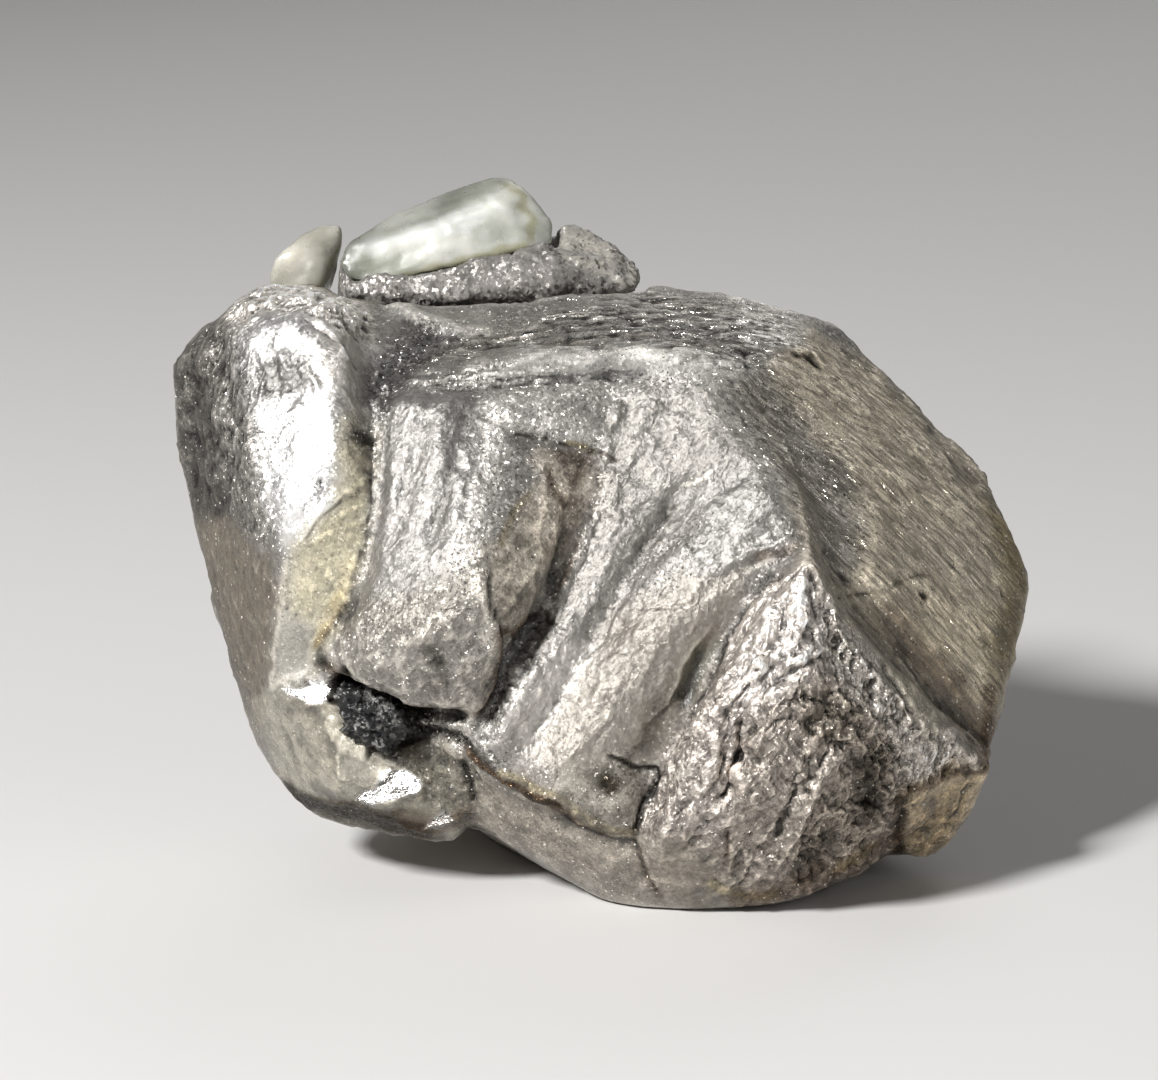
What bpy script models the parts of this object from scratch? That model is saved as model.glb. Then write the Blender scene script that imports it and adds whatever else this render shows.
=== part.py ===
"""Phenakite crystal cluster: crystals grown together on a flat broken base, and a pale crystal on mica.

Blender 4.5, metres, +Z up. X runs to the right as the specimen is shown and Y runs away from the viewer.
The origin lies on the flat base it rests on. Every corner and size below is in millimetres.
"""

import math

import bmesh
import bpy
from mathutils import Vector, noise

MM = 0.001
SEAT_GAP = 0.5                  # left round a piece in its seat, which loses some width as it is worn round
CLUSTER_VOXEL = 0.4             # grid on which the crystals are fused
MICA_VOXEL = 0.3
MICA_LUMP = 1.3                 # size of the mica's lumps
MICA_RELIEF = 0.25              # and their height
FINER_LUMPS = 3.0               # how many times smaller the second size of lump is
PALE_EDGE = 0.25                # rounding of the pale pieces' edges
EDGE_ANGLE = math.radians(20)   # corners sharper than this are rounded
CLUSTER_TRIANGLES = 7000
BED_TRIANGLES = 1200
POCKET_TRIANGLES = 300

# The point that the specimen is shown from. Marks on its front are placed across and up from the line of
# sight, measured where that line passes the middle of the specimen.
VIEW_POINT = Vector((0.0, -166.4, 47.8))
VIEW_TILT = math.radians(11.8)
VIEW_DISTANCE = 170.0
OUTLINE_FADE = 3.0              # how fast the forms die out towards the outline

# Crystals of the fused cluster, each the hull of its own corners.
MAIN_CRYSTAL = [
    (2.4, -3.6, 20.5), (4.3, -3.9, 20.8), (6.3, -4.4, 20.1), (1.0, -5.4, 16.5), (-0.3, -7.0, 13.1),
    (-2.3, -8.4, 9.3), (-3.5, -8.8, 7.8), (-3.9, -8.6, 6.5), (-0.7, -9.6, 4.8), (2.0, -10.0, 3.9),
    (7.5, -6.0, 18.0), (8.4, -7.9, 15.5), (8.6, -9.0, 14.1),
    (18.1, 3.0, 12.3), (18.6, 2.5, 10.7), (17.6, 1.5, 8.6), (16.2, 0.0, 6.9), (16.5, -2.0, 5.0),
    (16.1, -4.0, 4.8), (16.8, 4.0, 14.8), (15.6, 4.0, 16.2), (12.2, 4.2, 18.8), (10.4, 4.0, 21.3),
    (6.5, 3.2, 22.5), (2.9, 3.0, 23.0), (-8.8, 1.0, 22.5), (-3.1, 0.6, 22.7), (-0.8, 0.8, 22.9),
    (-5.8, -7.2, 6.4), (-4.3, -6.2, 3.2), (-1.5, -6.6, 2.2), (0.6, -7.3, 0.8), (2.4, -7.7, 0.3),
    (4.3, -7.9, 0.1), (7.1, -7.2, 0.0), (10.7, -5.0, 0.4), (12.5, -4.2, 1.3),
    (-9.0, 7.4, 22.2), (-4.0, 10.4, 21.6), (1.0, 10.6, 21.0), (5.6, 10.6, 18.8), (12.0, 9.4, 14.5),
    (13.0, 9.6, 7.0), (4.0, 12.4, 10.5), (-6.5, 11.6, 11.5), (-8.0, 4.0, 4.0), (-6.5, 9.5, 4.0),
    (10.0, 5.0, -1.0), (3.0, 9.6, -1.0), (-3.4, 8.0, -1.0), (-3.6, 5.0, -1.0), (-1.8, 2.4, -1.0),
    (0.8, -3.0, -1.0), (2.8, -7.2, -1.0), (7.2, -6.8, -1.0),
]
FRONT_PYRAMID = [
    (8.5, -9.6, 14.1), (6.9, -10.2, 12.9), (6.0, -10.6, 11.4), (4.6, -11.0, 8.0), (3.4, -10.9, 5.3),
    (2.7, -10.2, 3.1), (2.5, -9.0, 1.1), (9.7, -9.4, 12.5), (11.1, -8.8, 10.4), (13.6, -7.2, 7.8),
    (16.1, -4.6, 5.0), (8.3, -11.4, 11.2), (7.9, -12.0, 8.7), (6.8, -11.8, 5.5), (10.6, -10.8, 7.6),
    (10.3, -10.4, 5.1), (4.3, -8.3, 0.1), (7.0, -8.1, 0.0), (8.6, -7.7, 0.2), (10.6, -6.6, 0.5),
    (12.4, -5.6, 1.5), (9.0, -2.0, 8.0),
]
LOWER_RIGHT_TAB = [
    (12.7, -6.2, 5.2), (16.3, -4.4, 4.8), (16.1, -3.6, 3.6), (15.5, -3.2, 2.1), (14.7, -3.0, 0.8),
    (13.8, -3.2, 0.4), (12.9, -3.8, 0.9), (12.5, -5.4, 3.6), (16.0, 0.5, 4.8), (13.6, 1.0, 2.2),
    (12.0, 0.0, 4.0),
]
MIDDLE_CRYSTAL = [
    (-7.7, -4.5, 20.1), (-5.0, -4.0, 20.6), (0.8, -3.2, 21.1), (-7.8, -6.2, 17.1), (-8.2, -7.2, 13.8),
    (-9.0, -7.8, 11.9), (-9.9, -7.6, 9.8), (-6.1, -5.6, 19.7), (-4.7, -7.8, 17.0), (-5.2, -10.2, 12.1),
    (-3.7, -10.2, 12.9), (-6.8, -9.8, 10.8), (-4.1, -9.6, 9.2), (-5.3, -9.0, 8.0), (-9.0, -8.0, 8.9),
    (-6.9, -8.6, 8.1), (-3.7, -9.2, 8.2), (-3.1, -9.9, 10.7), (-2.0, -9.4, 11.9), (-1.3, -8.4, 12.9),
    (-0.3, -6.2, 15.1), (0.4, -4.6, 17.6), (1.6, -3.6, 20.0), (-3.2, -7.4, 16.9), (-3.2, -9.2, 14.2),
    (-5.9, -1.0, 21.1), (-0.8, 0.0, 21.4), (-6.0, 0.0, 12.0),
]
LEFT_CRYSTAL = [
    (-12.7, 2.0, 23.1), (-10.0, 3.0, 22.9), (-8.1, 1.0, 22.6), (-14.2, 1.0, 22.0), (-15.6, 1.1, 21.1),
    (-16.3, 1.4, 20.2), (-16.4, 1.4, 18.2), (-16.2, 1.2, 16.4), (-15.5, 0.6, 14.4), (-14.7, 0.0, 11.4),
    (-14.2, -0.4, 8.2), (-13.0, -1.0, 4.8), (-12.8, -1.2, 22.9), (-10.9, -2.6, 23.0), (-9.1, -3.6, 22.1),
    (-12.9, -3.4, 21.5), (-10.8, -4.6, 21.7), (-9.0, -4.8, 21.4), (-12.9, -5.2, 18.1), (-10.7, -6.4, 18.3),
    (-9.1, -6.8, 18.4), (-12.5, -5.9, 14.7), (-10.6, -7.2, 14.6), (-9.0, -7.2, 14.9), (-11.4, -7.0, 14.3),
    (-11.6, -6.8, 11.7), (-11.9, -6.2, 8.7), (-8.2, -4.8, 19.6), (-7.9, -6.0, 17.1), (-7.9, -6.6, 14.4),
    (-8.7, -7.0, 12.2), (-9.4, -6.9, 10.5), (-10.5, -6.7, 9.4), (-12.4, 6.4, 21.4), (-13.2, 6.4, 12.0),
    (-11.0, 6.5, 6.0), (-13.4, 4.0, 21.9), (-8.6, 7.6, 22.0), (-6.0, 6.0, 10.0),
]
BACK_CRYSTAL = [
    (-1.5, 11.0, 18.2), (4.5, 10.8, 17.4), (9.2, 10.8, 13.4), (9.6, 11.4, 9.0), (6.4, 13.2, 7.2),
    (0.8, 13.8, 9.0), (-1.6, 12.8, 13.0), (2.0, 12.4, 16.6), (6.4, 12.6, 12.8), (3.0, 6.0, 12.0),
    (6.0, 11.0, 4.6), (1.6, 11.8, 5.4),
]
BACK_LEDGE = [
    (-11.4, 7.2, 16.6), (-7.6, 11.0, 18.2), (-3.0, 12.6, 15.0), (-4.2, 13.4, 9.6), (-8.4, 10.8, 6.4),
    (-11.4, 7.4, 8.4), (-9.6, 10.4, 12.8), (-11.6, 4.0, 15.6), (-11.6, 4.0, 9.0), (-8.0, 6.0, 5.8),
    (-4.0, 7.0, 18.0), (-4.0, 7.0, 7.0),
]
UPPER_SEAM = [
    (-7.7, -4.4, 19.7), (-8.4, -2.4, 20.8), (-8.2, -0.8, 21.8), (-7.0, 0.8, 22.4), (-5.4, 1.2, 22.6),
    (-4.2, -0.6, 21.8), (-5.4, -3.2, 20.8), (-7.0, 2.0, 18.0),
]
LOWER_LEFT_KNOB = [
    (-11.3, -6.7, 9.1), (-9.4, -7.3, 9.2), (-12.0, -5.6, 8.2), (-13.7, -0.8, 6.6), (-13.1, -1.0, 4.8),
    (-11.8, -1.4, 2.9), (-11.1, -2.2, 2.4), (-9.9, -3.2, 2.2), (-7.9, -3.8, 1.9), (-5.9, -4.4, 1.7),
    (-4.7, -4.8, 1.8), (-9.6, -7.3, 8.2), (-9.0, -7.6, 6.7), (-7.2, -7.9, 6.3), (-9.7, -7.0, 4.6),
    (-8.8, -6.8, 4.1), (-6.9, -7.8, 5.6), (-6.2, -7.4, 4.7), (-7.5, -6.9, 3.9), (-4.8, -6.6, 3.5),
    (-6.0, -5.8, 2.7), (-6.5, 3.5, 2.6), (-9.5, 4.0, 3.4), (-5.0, 0.0, 8.0), (-8.4, -4.0, 10.4),
]

# Pieces seated on the cluster.
PALE_CRYSTAL = [
    (-9.7, 3.0, 23.8), (-9.4, 3.4, 24.5), (-7.4, 4.6, 25.7), (-5.6, 5.0, 26.4), (-3.6, 5.0, 27.0),
    (-2.7, 4.8, 27.0), (-1.9, 4.4, 26.3), (-1.0, 4.2, 25.4), (-1.0, 3.4, 24.5), (-2.0, 2.8, 24.4),
    (-4.4, 2.6, 23.9), (-6.4, 2.6, 23.4), (-8.2, 2.6, 23.0), (-9.4, 2.8, 23.1), (-9.4, 3.2, 24.2),
    (-4.4, 3.4, 25.7), (-3.2, 3.4, 26.2), (-8.8, 6.6, 24.2), (-3.4, 8.0, 26.4), (-1.6, 7.2, 25.0),
    (-8.6, 6.6, 23.2), (-3.6, 7.8, 24.0),
]
PALE_CHIP = [
    (-12.8, 4.0, 22.8), (-12.4, 4.0, 24.0), (-11.5, 4.4, 24.8), (-10.6, 4.8, 25.2), (-9.6, 5.2, 25.2),
    (-9.6, 4.7, 24.5), (-10.1, 4.2, 24.0), (-10.3, 3.7, 23.6), (-10.5, 3.6, 22.3), (-11.8, 6.6, 22.4),
    (-10.2, 6.8, 24.0), (-10.1, 6.4, 22.2), (-12.4, 4.2, 22.2),
]
MICA_BED = [
    (-9.8, 2.6, 23.0), (-9.3, 1.6, 22.8), (-5.9, 1.4, 22.6), (-3.1, 1.2, 23.0), (-0.8, 1.4, 23.2),
    (2.6, 3.0, 23.0), (2.6, 4.4, 23.1), (1.4, 4.6, 24.3), (0.9, 4.8, 24.5), (-0.2, 4.8, 25.0),
    (-1.0, 4.6, 25.2), (-1.1, 2.4, 24.4), (-2.4, 2.2, 24.4), (-4.4, 2.2, 23.7), (-7.2, 2.2, 23.0),
    (-10.0, 7.2, 22.8), (-3.6, 8.6, 23.4), (1.4, 7.6, 23.2), (-8.8, 3.2, 20.6), (-8.0, 6.8, 20.6),
    (0.8, 3.2, 20.6), (0.0, 7.2, 20.6),
]
MICA_POCKET = [
    (-9.6, -7.1, 8.7), (-9.3, -7.7, 8.2), (-8.9, -7.9, 7.2), (-7.9, -7.9, 6.5), (-7.1, -7.7, 6.2),
    (-7.1, -7.9, 7.2), (-6.6, -8.1, 7.6), (-7.1, -8.2, 8.0), (-8.8, -7.8, 8.8), (-9.0, -5.6, 8.6),
    (-8.6, -5.8, 6.6), (-7.0, -5.8, 7.0), (-7.2, -6.0, 8.2),
]

# Forms worn or grown into the front of the cluster: height (raised above zero, sunk below it), reach to
# each side, and the line they follow across and up.
FRONT_FORMS = [
    # main crystal
    (-0.45, 1.3, [(4.0, 1.6), (2.4, -0.8), (0.8, -3.6), (-0.6, -6.0), (-2.0, -8.1)]),
    (0.20, 1.0, [(2.8, 5.6), (1.6, 2.4), (0.0, -1.2), (-1.4, -4.4), (-2.8, -7.2)]),
    (0.25, 1.6, [(7.3, 1.6), (4.0, -2.4), (1.6, -6.4), (-0.4, -9.2)]),
    (-0.60, 1.2, [(7.5, -1.9), (5.7, -4.4), (4.4, -6.4), (3.6, -8.4), (3.0, -10.4)]),
    (-0.60, 0.7, [(2.1, -8.9), (2.8, -9.8), (2.3, -11.8)]),
    (-0.35, 1.7, [(6.8, 5.8), (8.9, 4.0), (10.3, 1.2), (10.9, -2.0)]),
    (-0.50, 1.2, [(11.7, -2.8), (14.1, -6.0), (16.3, -7.8)]),
    (0.20, 0.7, [(-6.0, -7.8), (-3.2, -10.0), (-0.8, -10.7), (2.2, -11.7)]),
    (-0.35, 0.6, [(-6.2, -8.2), (-3.4, -10.4), (-1.0, -11.1), (1.8, -12.2)]),
    (-0.20, 0.8, [(-4.4, -9.2), (-4.2, -11.2)]),
    # front pyramid
    (0.30, 0.9, [(9.1, -0.9), (10.9, -4.0), (13.1, -6.0), (14.3, -7.4), (16.3, -9.0)]),
    (0.30, 1.0, [(8.9, -1.4), (6.5, -4.0), (4.8, -7.8), (3.4, -11.6)]),
    (-0.45, 0.6, [(6.8, -7.0), (6.4, -8.6), (5.7, -10.4)]),
    (-0.50, 1.8, [(12.1, -8.4), (10.9, -10.4)]),
    (0.35, 0.6, [(10.3, -8.6), (8.9, -10.4), (7.5, -13.4)]),
    # middle crystal
    (-0.50, 1.2, [(0.4, 0.8), (-0.8, -2.4), (-2.6, -4.4), (-3.6, -6.9)]),
    (-0.25, 0.6, [(-3.9, 5.6), (-5.0, 2.8), (-6.0, 0.0)]),
    (-0.20, 0.5, [(-5.9, 5.8), (-6.6, 2.8), (-7.4, 0.0)]),
    (-0.25, 0.5, [(-2.6, 4.3), (-0.2, 3.8), (1.3, 3.4)]),
    # left crystal
    (-0.50, 0.7, [(-8.3, 5.6), (-8.2, 1.6), (-8.7, -1.2), (-9.6, -3.2)]),
    (-0.40, 0.9, [(-8.0, 6.2), (-7.2, 7.0), (-6.2, 8.0)]),
    (-0.20, 0.7, [(-12.7, 6.7), (-11.6, 5.9)]),
    (0.20, 1.2, [(-13.2, 8.4), (-10.0, 8.9)]),
    # ledges along the top edge
    (0.30, 0.7, [(-4.0, 6.9), (-0.8, 7.3), (2.4, 7.4), (5.0, 7.4), (6.5, 6.7)]),
    (-0.30, 0.6, [(-7.8, 6.1), (-5.2, 6.2), (-0.8, 6.5), (2.8, 6.7)]),
    (0.30, 0.6, [(-7.4, 9.5), (-6.0, 8.7), (-3.6, 8.3)]),
]

# Colour, roughness and metallic value of each piece.
FINISHES = {
    "phenakite_cluster": ((0.33, 0.31, 0.28), 0.38, 0.35),
    "pale_crystal": ((0.72, 0.76, 0.66), 0.2, 0.0),
    "pale_chip": ((0.62, 0.6, 0.53), 0.35, 0.0),
    "mica_bed": ((0.09, 0.085, 0.085), 0.32, 0.4),
    "mica_pocket": ((0.05, 0.048, 0.05), 0.3, 0.4),
}


def clear_scene():
    for obj in list(bpy.data.objects):
        bpy.data.objects.remove(obj)


def hull(name, corners, collection):
    """A flat-faced crystal: the convex hull of its corners."""
    shape = bmesh.new()
    for corner in corners:
        shape.verts.new(Vector(corner) * MM)
    made = bmesh.ops.convex_hull(shape, input=shape.verts)
    inside = set(made["geom_interior"]) | set(made["geom_unused"])
    bmesh.ops.delete(shape, geom=[item for item in inside if isinstance(item, bmesh.types.BMVert)])
    mesh = bpy.data.meshes.new(name)
    shape.to_mesh(mesh)
    shape.free()
    obj = bpy.data.objects.new(name, mesh)
    collection.objects.link(obj)
    return obj


def finish_surface(obj):
    """The piece's own material, set once all cuts are made."""
    colour, roughness, metallic = FINISHES[obj.name]
    material = bpy.data.materials.new(obj.name)
    material.use_nodes = True
    surface = material.node_tree.nodes["Principled BSDF"].inputs
    surface["Base Color"].default_value = (*colour, 1.0)
    surface["Roughness"].default_value = roughness
    surface["Metallic"].default_value = metallic
    obj.data.materials.clear()
    obj.data.materials.append(material)


def swollen(obj, reach, collection):
    """A copy of a piece grown outwards on every side, to cut the seat that the piece lies in."""
    mesh = obj.data.copy()
    copy = bpy.data.objects.new(obj.name + "_seat", mesh)
    collection.objects.link(copy)
    shape = bmesh.new()
    shape.from_mesh(mesh)
    shape.normal_update()
    moves = [vert.normal * vert.calc_shell_factor() * reach * MM for vert in shape.verts]
    for vert, move in zip(shape.verts, moves):
        vert.co += move
    shape.to_mesh(mesh)
    shape.free()
    return copy


def apply_modifiers(obj):
    graph = bpy.context.evaluated_depsgraph_get()
    graph.update()
    mesh = bpy.data.meshes.new_from_object(obj.evaluated_get(graph))
    obj.modifiers.clear()
    obj.data = mesh


def combine(obj, others, operation):
    for other in others:
        cut = obj.modifiers.new(operation.title(), "BOOLEAN")
        cut.operation = operation
        cut.solver = "EXACT"
        cut.object = other
    apply_modifiers(obj)


def fuse(obj, voxel):
    """Rebuilds a piece on an even grid, which joins all that overlaps in it."""
    remesh = obj.modifiers.new("Remesh", "REMESH")
    remesh.mode = "VOXEL"
    remesh.voxel_size = voxel * MM
    apply_modifiers(obj)


def wear_round(obj, passes):
    smooth = obj.modifiers.new("Smooth", "SMOOTH")
    smooth.factor = 0.5
    smooth.iterations = passes
    apply_modifiers(obj)


def round_edges(obj, width):
    bevel = obj.modifiers.new("Bevel", "BEVEL")
    bevel.width = width * MM
    bevel.segments = 2
    bevel.limit_method = "ANGLE"
    bevel.angle_limit = EDGE_ANGLE
    apply_modifiers(obj)


def crumble(obj, lump, height):
    """Flaky relief: lumps of one size, and finer ones half as high."""
    shape = bmesh.new()
    shape.from_mesh(obj.data)
    shape.normal_update()
    moves = []
    for vert in shape.verts:
        spot = vert.co / MM / lump
        relief = noise.noise(spot) + 0.5 * noise.noise(spot * FINER_LUMPS)
        moves.append(vert.normal * relief * height * MM)
    for vert, move in zip(shape.verts, moves):
        vert.co += move
    shape.to_mesh(obj.data)
    shape.free()


def line_distance(spot, line):
    """How far a spot lies from a line of straight runs, in the plane across the line of sight."""
    nearest = math.inf
    for start, end in zip(line, line[1:]):
        run = Vector(end) - Vector(start)
        along = max(0.0, min(1.0, (spot - Vector(start)).dot(run) / run.length_squared))
        nearest = min(nearest, (spot - Vector(start) - run * along).length)
    return nearest


def form_front(obj, forms):
    """Raises and sinks the faces turned to the viewer along each form's line."""
    forward = Vector((0.0, math.cos(VIEW_TILT), -math.sin(VIEW_TILT)))
    upward = Vector((0.0, math.sin(VIEW_TILT), math.cos(VIEW_TILT)))
    shape = bmesh.new()
    shape.from_mesh(obj.data)
    shape.normal_update()
    moves = []
    for vert in shape.verts:
        sight = vert.co / MM - VIEW_POINT
        scale = VIEW_DISTANCE / sight.dot(forward)
        spot = Vector((sight.x * scale, sight.dot(upward) * scale))
        facing = max(0.0, min(1.0, -vert.normal.dot(sight.normalized()) * OUTLINE_FADE))
        height = 0.0
        for rise, reach, line in forms:
            nearness = 1.0 - (line_distance(spot, line) / reach) ** 2
            height += rise * max(0.0, nearness) ** 2
        moves.append(vert.normal * height * facing * MM)
    for vert, move in zip(shape.verts, moves):
        vert.co += move
    shape.to_mesh(obj.data)
    shape.free()


def thin_out(obj, triangles):
    obj.data.calc_loop_triangles()
    decimate = obj.modifiers.new("Decimate", "DECIMATE")
    decimate.ratio = min(1.0, triangles / len(obj.data.loop_triangles))
    apply_modifiers(obj)


def cut_flat_base(obj):
    """The face that the cluster broke along and rests on, flat at Z = 0."""
    shape = bmesh.new()
    shape.from_mesh(obj.data)
    everything = shape.verts[:] + shape.edges[:] + shape.faces[:]
    bmesh.ops.bisect_plane(shape, geom=everything, plane_co=(0, 0, 0), plane_no=(0, 0, -1), clear_outer=True)
    rim = [edge for edge in shape.edges if edge.is_boundary]
    bmesh.ops.holes_fill(shape, edges=rim)
    bmesh.ops.triangulate(shape, faces=shape.faces[:])
    bmesh.ops.recalc_face_normals(shape, faces=shape.faces[:])
    shape.to_mesh(obj.data)
    shape.free()


def build():
    clear_scene()
    collection = bpy.data.collections.new("phenakite_specimen")
    bpy.context.scene.collection.children.link(collection)
    helpers = bpy.data.collections.new("helpers")
    bpy.context.scene.collection.children.link(helpers)

    pale_crystal = hull("pale_crystal", PALE_CRYSTAL, collection)
    pale_chip = hull("pale_chip", PALE_CHIP, collection)
    pale_pieces = (pale_crystal, pale_chip)
    for piece in pale_pieces:
        round_edges(piece, PALE_EDGE)

    mica_bed = hull("mica_bed", MICA_BED, collection)
    mica_pocket = hull("mica_pocket", MICA_POCKET, collection)
    combine(mica_bed, [swollen(piece, SEAT_GAP, helpers) for piece in pale_pieces], "DIFFERENCE")
    for piece, triangles in ((mica_bed, BED_TRIANGLES), (mica_pocket, POCKET_TRIANGLES)):
        fuse(piece, MICA_VOXEL)
        crumble(piece, MICA_LUMP, MICA_RELIEF)
        wear_round(piece, 1)
        thin_out(piece, triangles)

    cluster = hull("phenakite_cluster", MAIN_CRYSTAL, collection)
    grown_on = [
        hull("front_pyramid", FRONT_PYRAMID, helpers),
        hull("lower_right_tab", LOWER_RIGHT_TAB, helpers),
        hull("middle_crystal", MIDDLE_CRYSTAL, helpers),
        hull("left_crystal", LEFT_CRYSTAL, helpers),
        hull("upper_seam", UPPER_SEAM, helpers),
        hull("back_crystal", BACK_CRYSTAL, helpers),
        hull("back_ledge", BACK_LEDGE, helpers),
        hull("lower_left_knob", LOWER_LEFT_KNOB, helpers),
    ]
    combine(cluster, grown_on, "UNION")
    seated = (pale_crystal, pale_chip, mica_bed, mica_pocket)
    combine(cluster, [swollen(piece, SEAT_GAP, helpers) for piece in seated], "DIFFERENCE")
    fuse(cluster, CLUSTER_VOXEL)
    wear_round(cluster, 2)
    form_front(cluster, FRONT_FORMS)
    wear_round(cluster, 2)
    thin_out(cluster, CLUSTER_TRIANGLES)
    cut_flat_base(cluster)
    for helper in list(helpers.objects):
        bpy.data.objects.remove(helper)
    for piece in collection.objects:
        finish_surface(piece)


build()
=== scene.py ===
import math

import bpy
import numpy as np
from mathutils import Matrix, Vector, noise


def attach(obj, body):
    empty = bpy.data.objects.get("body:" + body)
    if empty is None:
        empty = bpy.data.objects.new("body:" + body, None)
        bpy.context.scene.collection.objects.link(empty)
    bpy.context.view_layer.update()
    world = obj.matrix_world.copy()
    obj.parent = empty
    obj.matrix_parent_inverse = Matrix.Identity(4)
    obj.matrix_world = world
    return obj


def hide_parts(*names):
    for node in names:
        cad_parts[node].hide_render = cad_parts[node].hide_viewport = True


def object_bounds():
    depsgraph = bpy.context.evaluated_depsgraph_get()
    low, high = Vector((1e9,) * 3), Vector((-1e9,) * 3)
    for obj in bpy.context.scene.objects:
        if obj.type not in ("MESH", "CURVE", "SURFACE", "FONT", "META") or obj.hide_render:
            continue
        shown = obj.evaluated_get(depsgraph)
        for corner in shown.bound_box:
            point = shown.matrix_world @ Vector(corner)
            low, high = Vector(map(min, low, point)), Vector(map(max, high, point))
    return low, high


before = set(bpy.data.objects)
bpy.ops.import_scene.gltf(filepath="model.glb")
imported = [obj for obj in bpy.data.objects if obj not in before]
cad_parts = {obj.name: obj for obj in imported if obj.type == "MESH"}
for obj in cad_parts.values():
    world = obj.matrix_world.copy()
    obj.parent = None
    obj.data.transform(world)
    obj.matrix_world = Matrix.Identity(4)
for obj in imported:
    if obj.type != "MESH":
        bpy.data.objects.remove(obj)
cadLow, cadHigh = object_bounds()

# Finish of a phenakite crystal group: silvery grey crystals grown into each other, black mica in the
# seams, and a pale clear crystal on top. Sizes here are in millimetres, meshes are in metres.
mm = 0.001
boxMargin = 0.01
bpy.ops.object.select_all(action="DESELECT")

view = {
    "eye": (0.0, -166.41, 47.81),
    "tilt": 11.8,           # degrees below level
    "distance": 170.0,      # marks are placed across and up from the line of sight at this distance
    "lens": 131.94,
    "sensor": 36.0,
}
eye = np.array(view["eye"])
tilt = math.radians(view["tilt"])
forward = np.array((0.0, math.cos(tilt), -math.sin(tilt)))
upward = np.array((0.0, math.sin(tilt), math.cos(tilt)))


# Meshes as arrays of points

def readPoints(obj):
    flat = np.empty(len(obj.data.vertices) * 3, np.float32)
    obj.data.vertices.foreach_get("co", flat)
    return flat.reshape(-1, 3).astype(float) / mm


def readNormals(obj):
    flat = np.empty(len(obj.data.vertices) * 3, np.float32)
    obj.data.vertex_normals.foreach_get("vector", flat)
    return flat.reshape(-1, 3).astype(float)


def writePoints(obj, points):
    obj.data.vertices.foreach_set("co", (points * mm).astype(np.float32).ravel())
    obj.data.update()


def writeMask(obj, name, values):
    layer = obj.data.attributes.new(name, "FLOAT", "POINT")
    layer.data.foreach_set("value", np.clip(values, 0.0, 1.0).astype(np.float32))


def ramp(values, low, high):      # 0 below low, 1 above high, smooth between
    share = np.clip((values - low) / (high - low), 0.0, 1.0)
    return share * share * (3.0 - 2.0 * share)


# What is seen of a mesh from the eye

def seenPlace(points):
    sight = points - eye
    scale = view["distance"] / (sight @ forward)
    return np.column_stack((sight[:, 0] * scale, (sight @ upward) * scale))


def seenFacing(points, normals):      # 1 where a face is turned to the eye, 0 at the outline and behind
    sight = points - eye
    sight /= np.linalg.norm(sight, axis=1)[:, None]
    return -np.sum(sight * normals, axis=1)


# Noise

def lumps(points, size, shift=0.0):
    return np.array([noise.noise(p) for p in (points / size + shift).tolist()])


def pebbles(points, size, shift=0.0):      # rounded grains side by side, highest in their middles
    return 0.5 - np.array([noise.voronoi(p)[0][0] for p in (points / size + shift).tolist()]) ** 2 * 1.6


def flakes(points, size, shift, tip):      # flat chips side by side, each with a tilt and a step of its own
    height = np.empty(len(points))
    for index, place in enumerate((points / size + shift).tolist()):
        middle = noise.voronoi(place)[1][0]
        turn = noise.cell_vector(middle * 7.0)
        height[index] = (Vector(place) - middle).dot(turn) * tip + turn.x * 0.35
    return height


def creases(points, size, shift=0.0):      # thin raised folds with hollows between, from -0.5 to 0.5
    return 0.5 - np.clip(np.abs(lumps(points, size, shift)) * 3.0, 0.0, 1.0)


def crumpled(points, size, shift=0.0):      # folds with finer folds on them
    finer = 0.5 * creases(points, size / 2.0, shift + 5.0)
    finest = 0.25 * creases(points, size / 4.0, shift + 9.0)
    return creases(points, size, shift) + finer + finest


def fannedOut(points, spots, apex, times):      # points for noise that runs out from an apex
    out = spots - np.array(apex)
    reach = np.hypot(out[:, 0], out[:, 1])
    return np.column_stack((np.arctan2(out[:, 0], -out[:, 1]) * 6.0, reach / times, points[:, 1] / times))


def stretched(points, along, times):      # squeezed along a direction, so that noise is drawn out
    way = np.array(along, float)
    way /= np.linalg.norm(way)
    return points - np.outer(points @ way, way) * (1.0 - 1.0 / times)


# Lines and outlines across and up

def lineDistance(spots, line):      # distance, side (above zero on the left), length run, whole length
    nearest = np.full(len(spots), 1e9)
    side = np.zeros(len(spots))
    run = np.zeros(len(spots))
    walked = 0.0
    for start, end in zip(line, line[1:]):
        start, end = np.array(start), np.array(end)
        way = end - start
        length = np.linalg.norm(way)
        out = spots - start
        share = np.clip(out @ way / length ** 2, 0.0, 1.0)
        gap = out - np.outer(share, way)
        far = np.hypot(gap[:, 0], gap[:, 1])
        closer = far < nearest
        nearest[closer] = far[closer]
        side[closer] = np.sign(way[0] * out[closer, 1] - way[1] * out[closer, 0])
        run[closer] = walked + share[closer] * length
        walked += length
    return nearest, side, run, walked


def depthInside(spots, outline):      # distance to an outline, above zero inside it
    far = lineDistance(spots, outline + outline[:1])[0]
    within = np.zeros(len(spots), bool)
    for (x0, y0), (x1, y1) in zip(outline, outline[1:] + outline[:1]):
        if y0 == y1:
            continue
        crosses = (spots[:, 1] < y0) != (spots[:, 1] < y1)
        within ^= crosses & (spots[:, 0] < x0 + (spots[:, 1] - y0) * (x1 - x0) / (y1 - y0))
    return np.where(within, far, -far)


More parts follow.
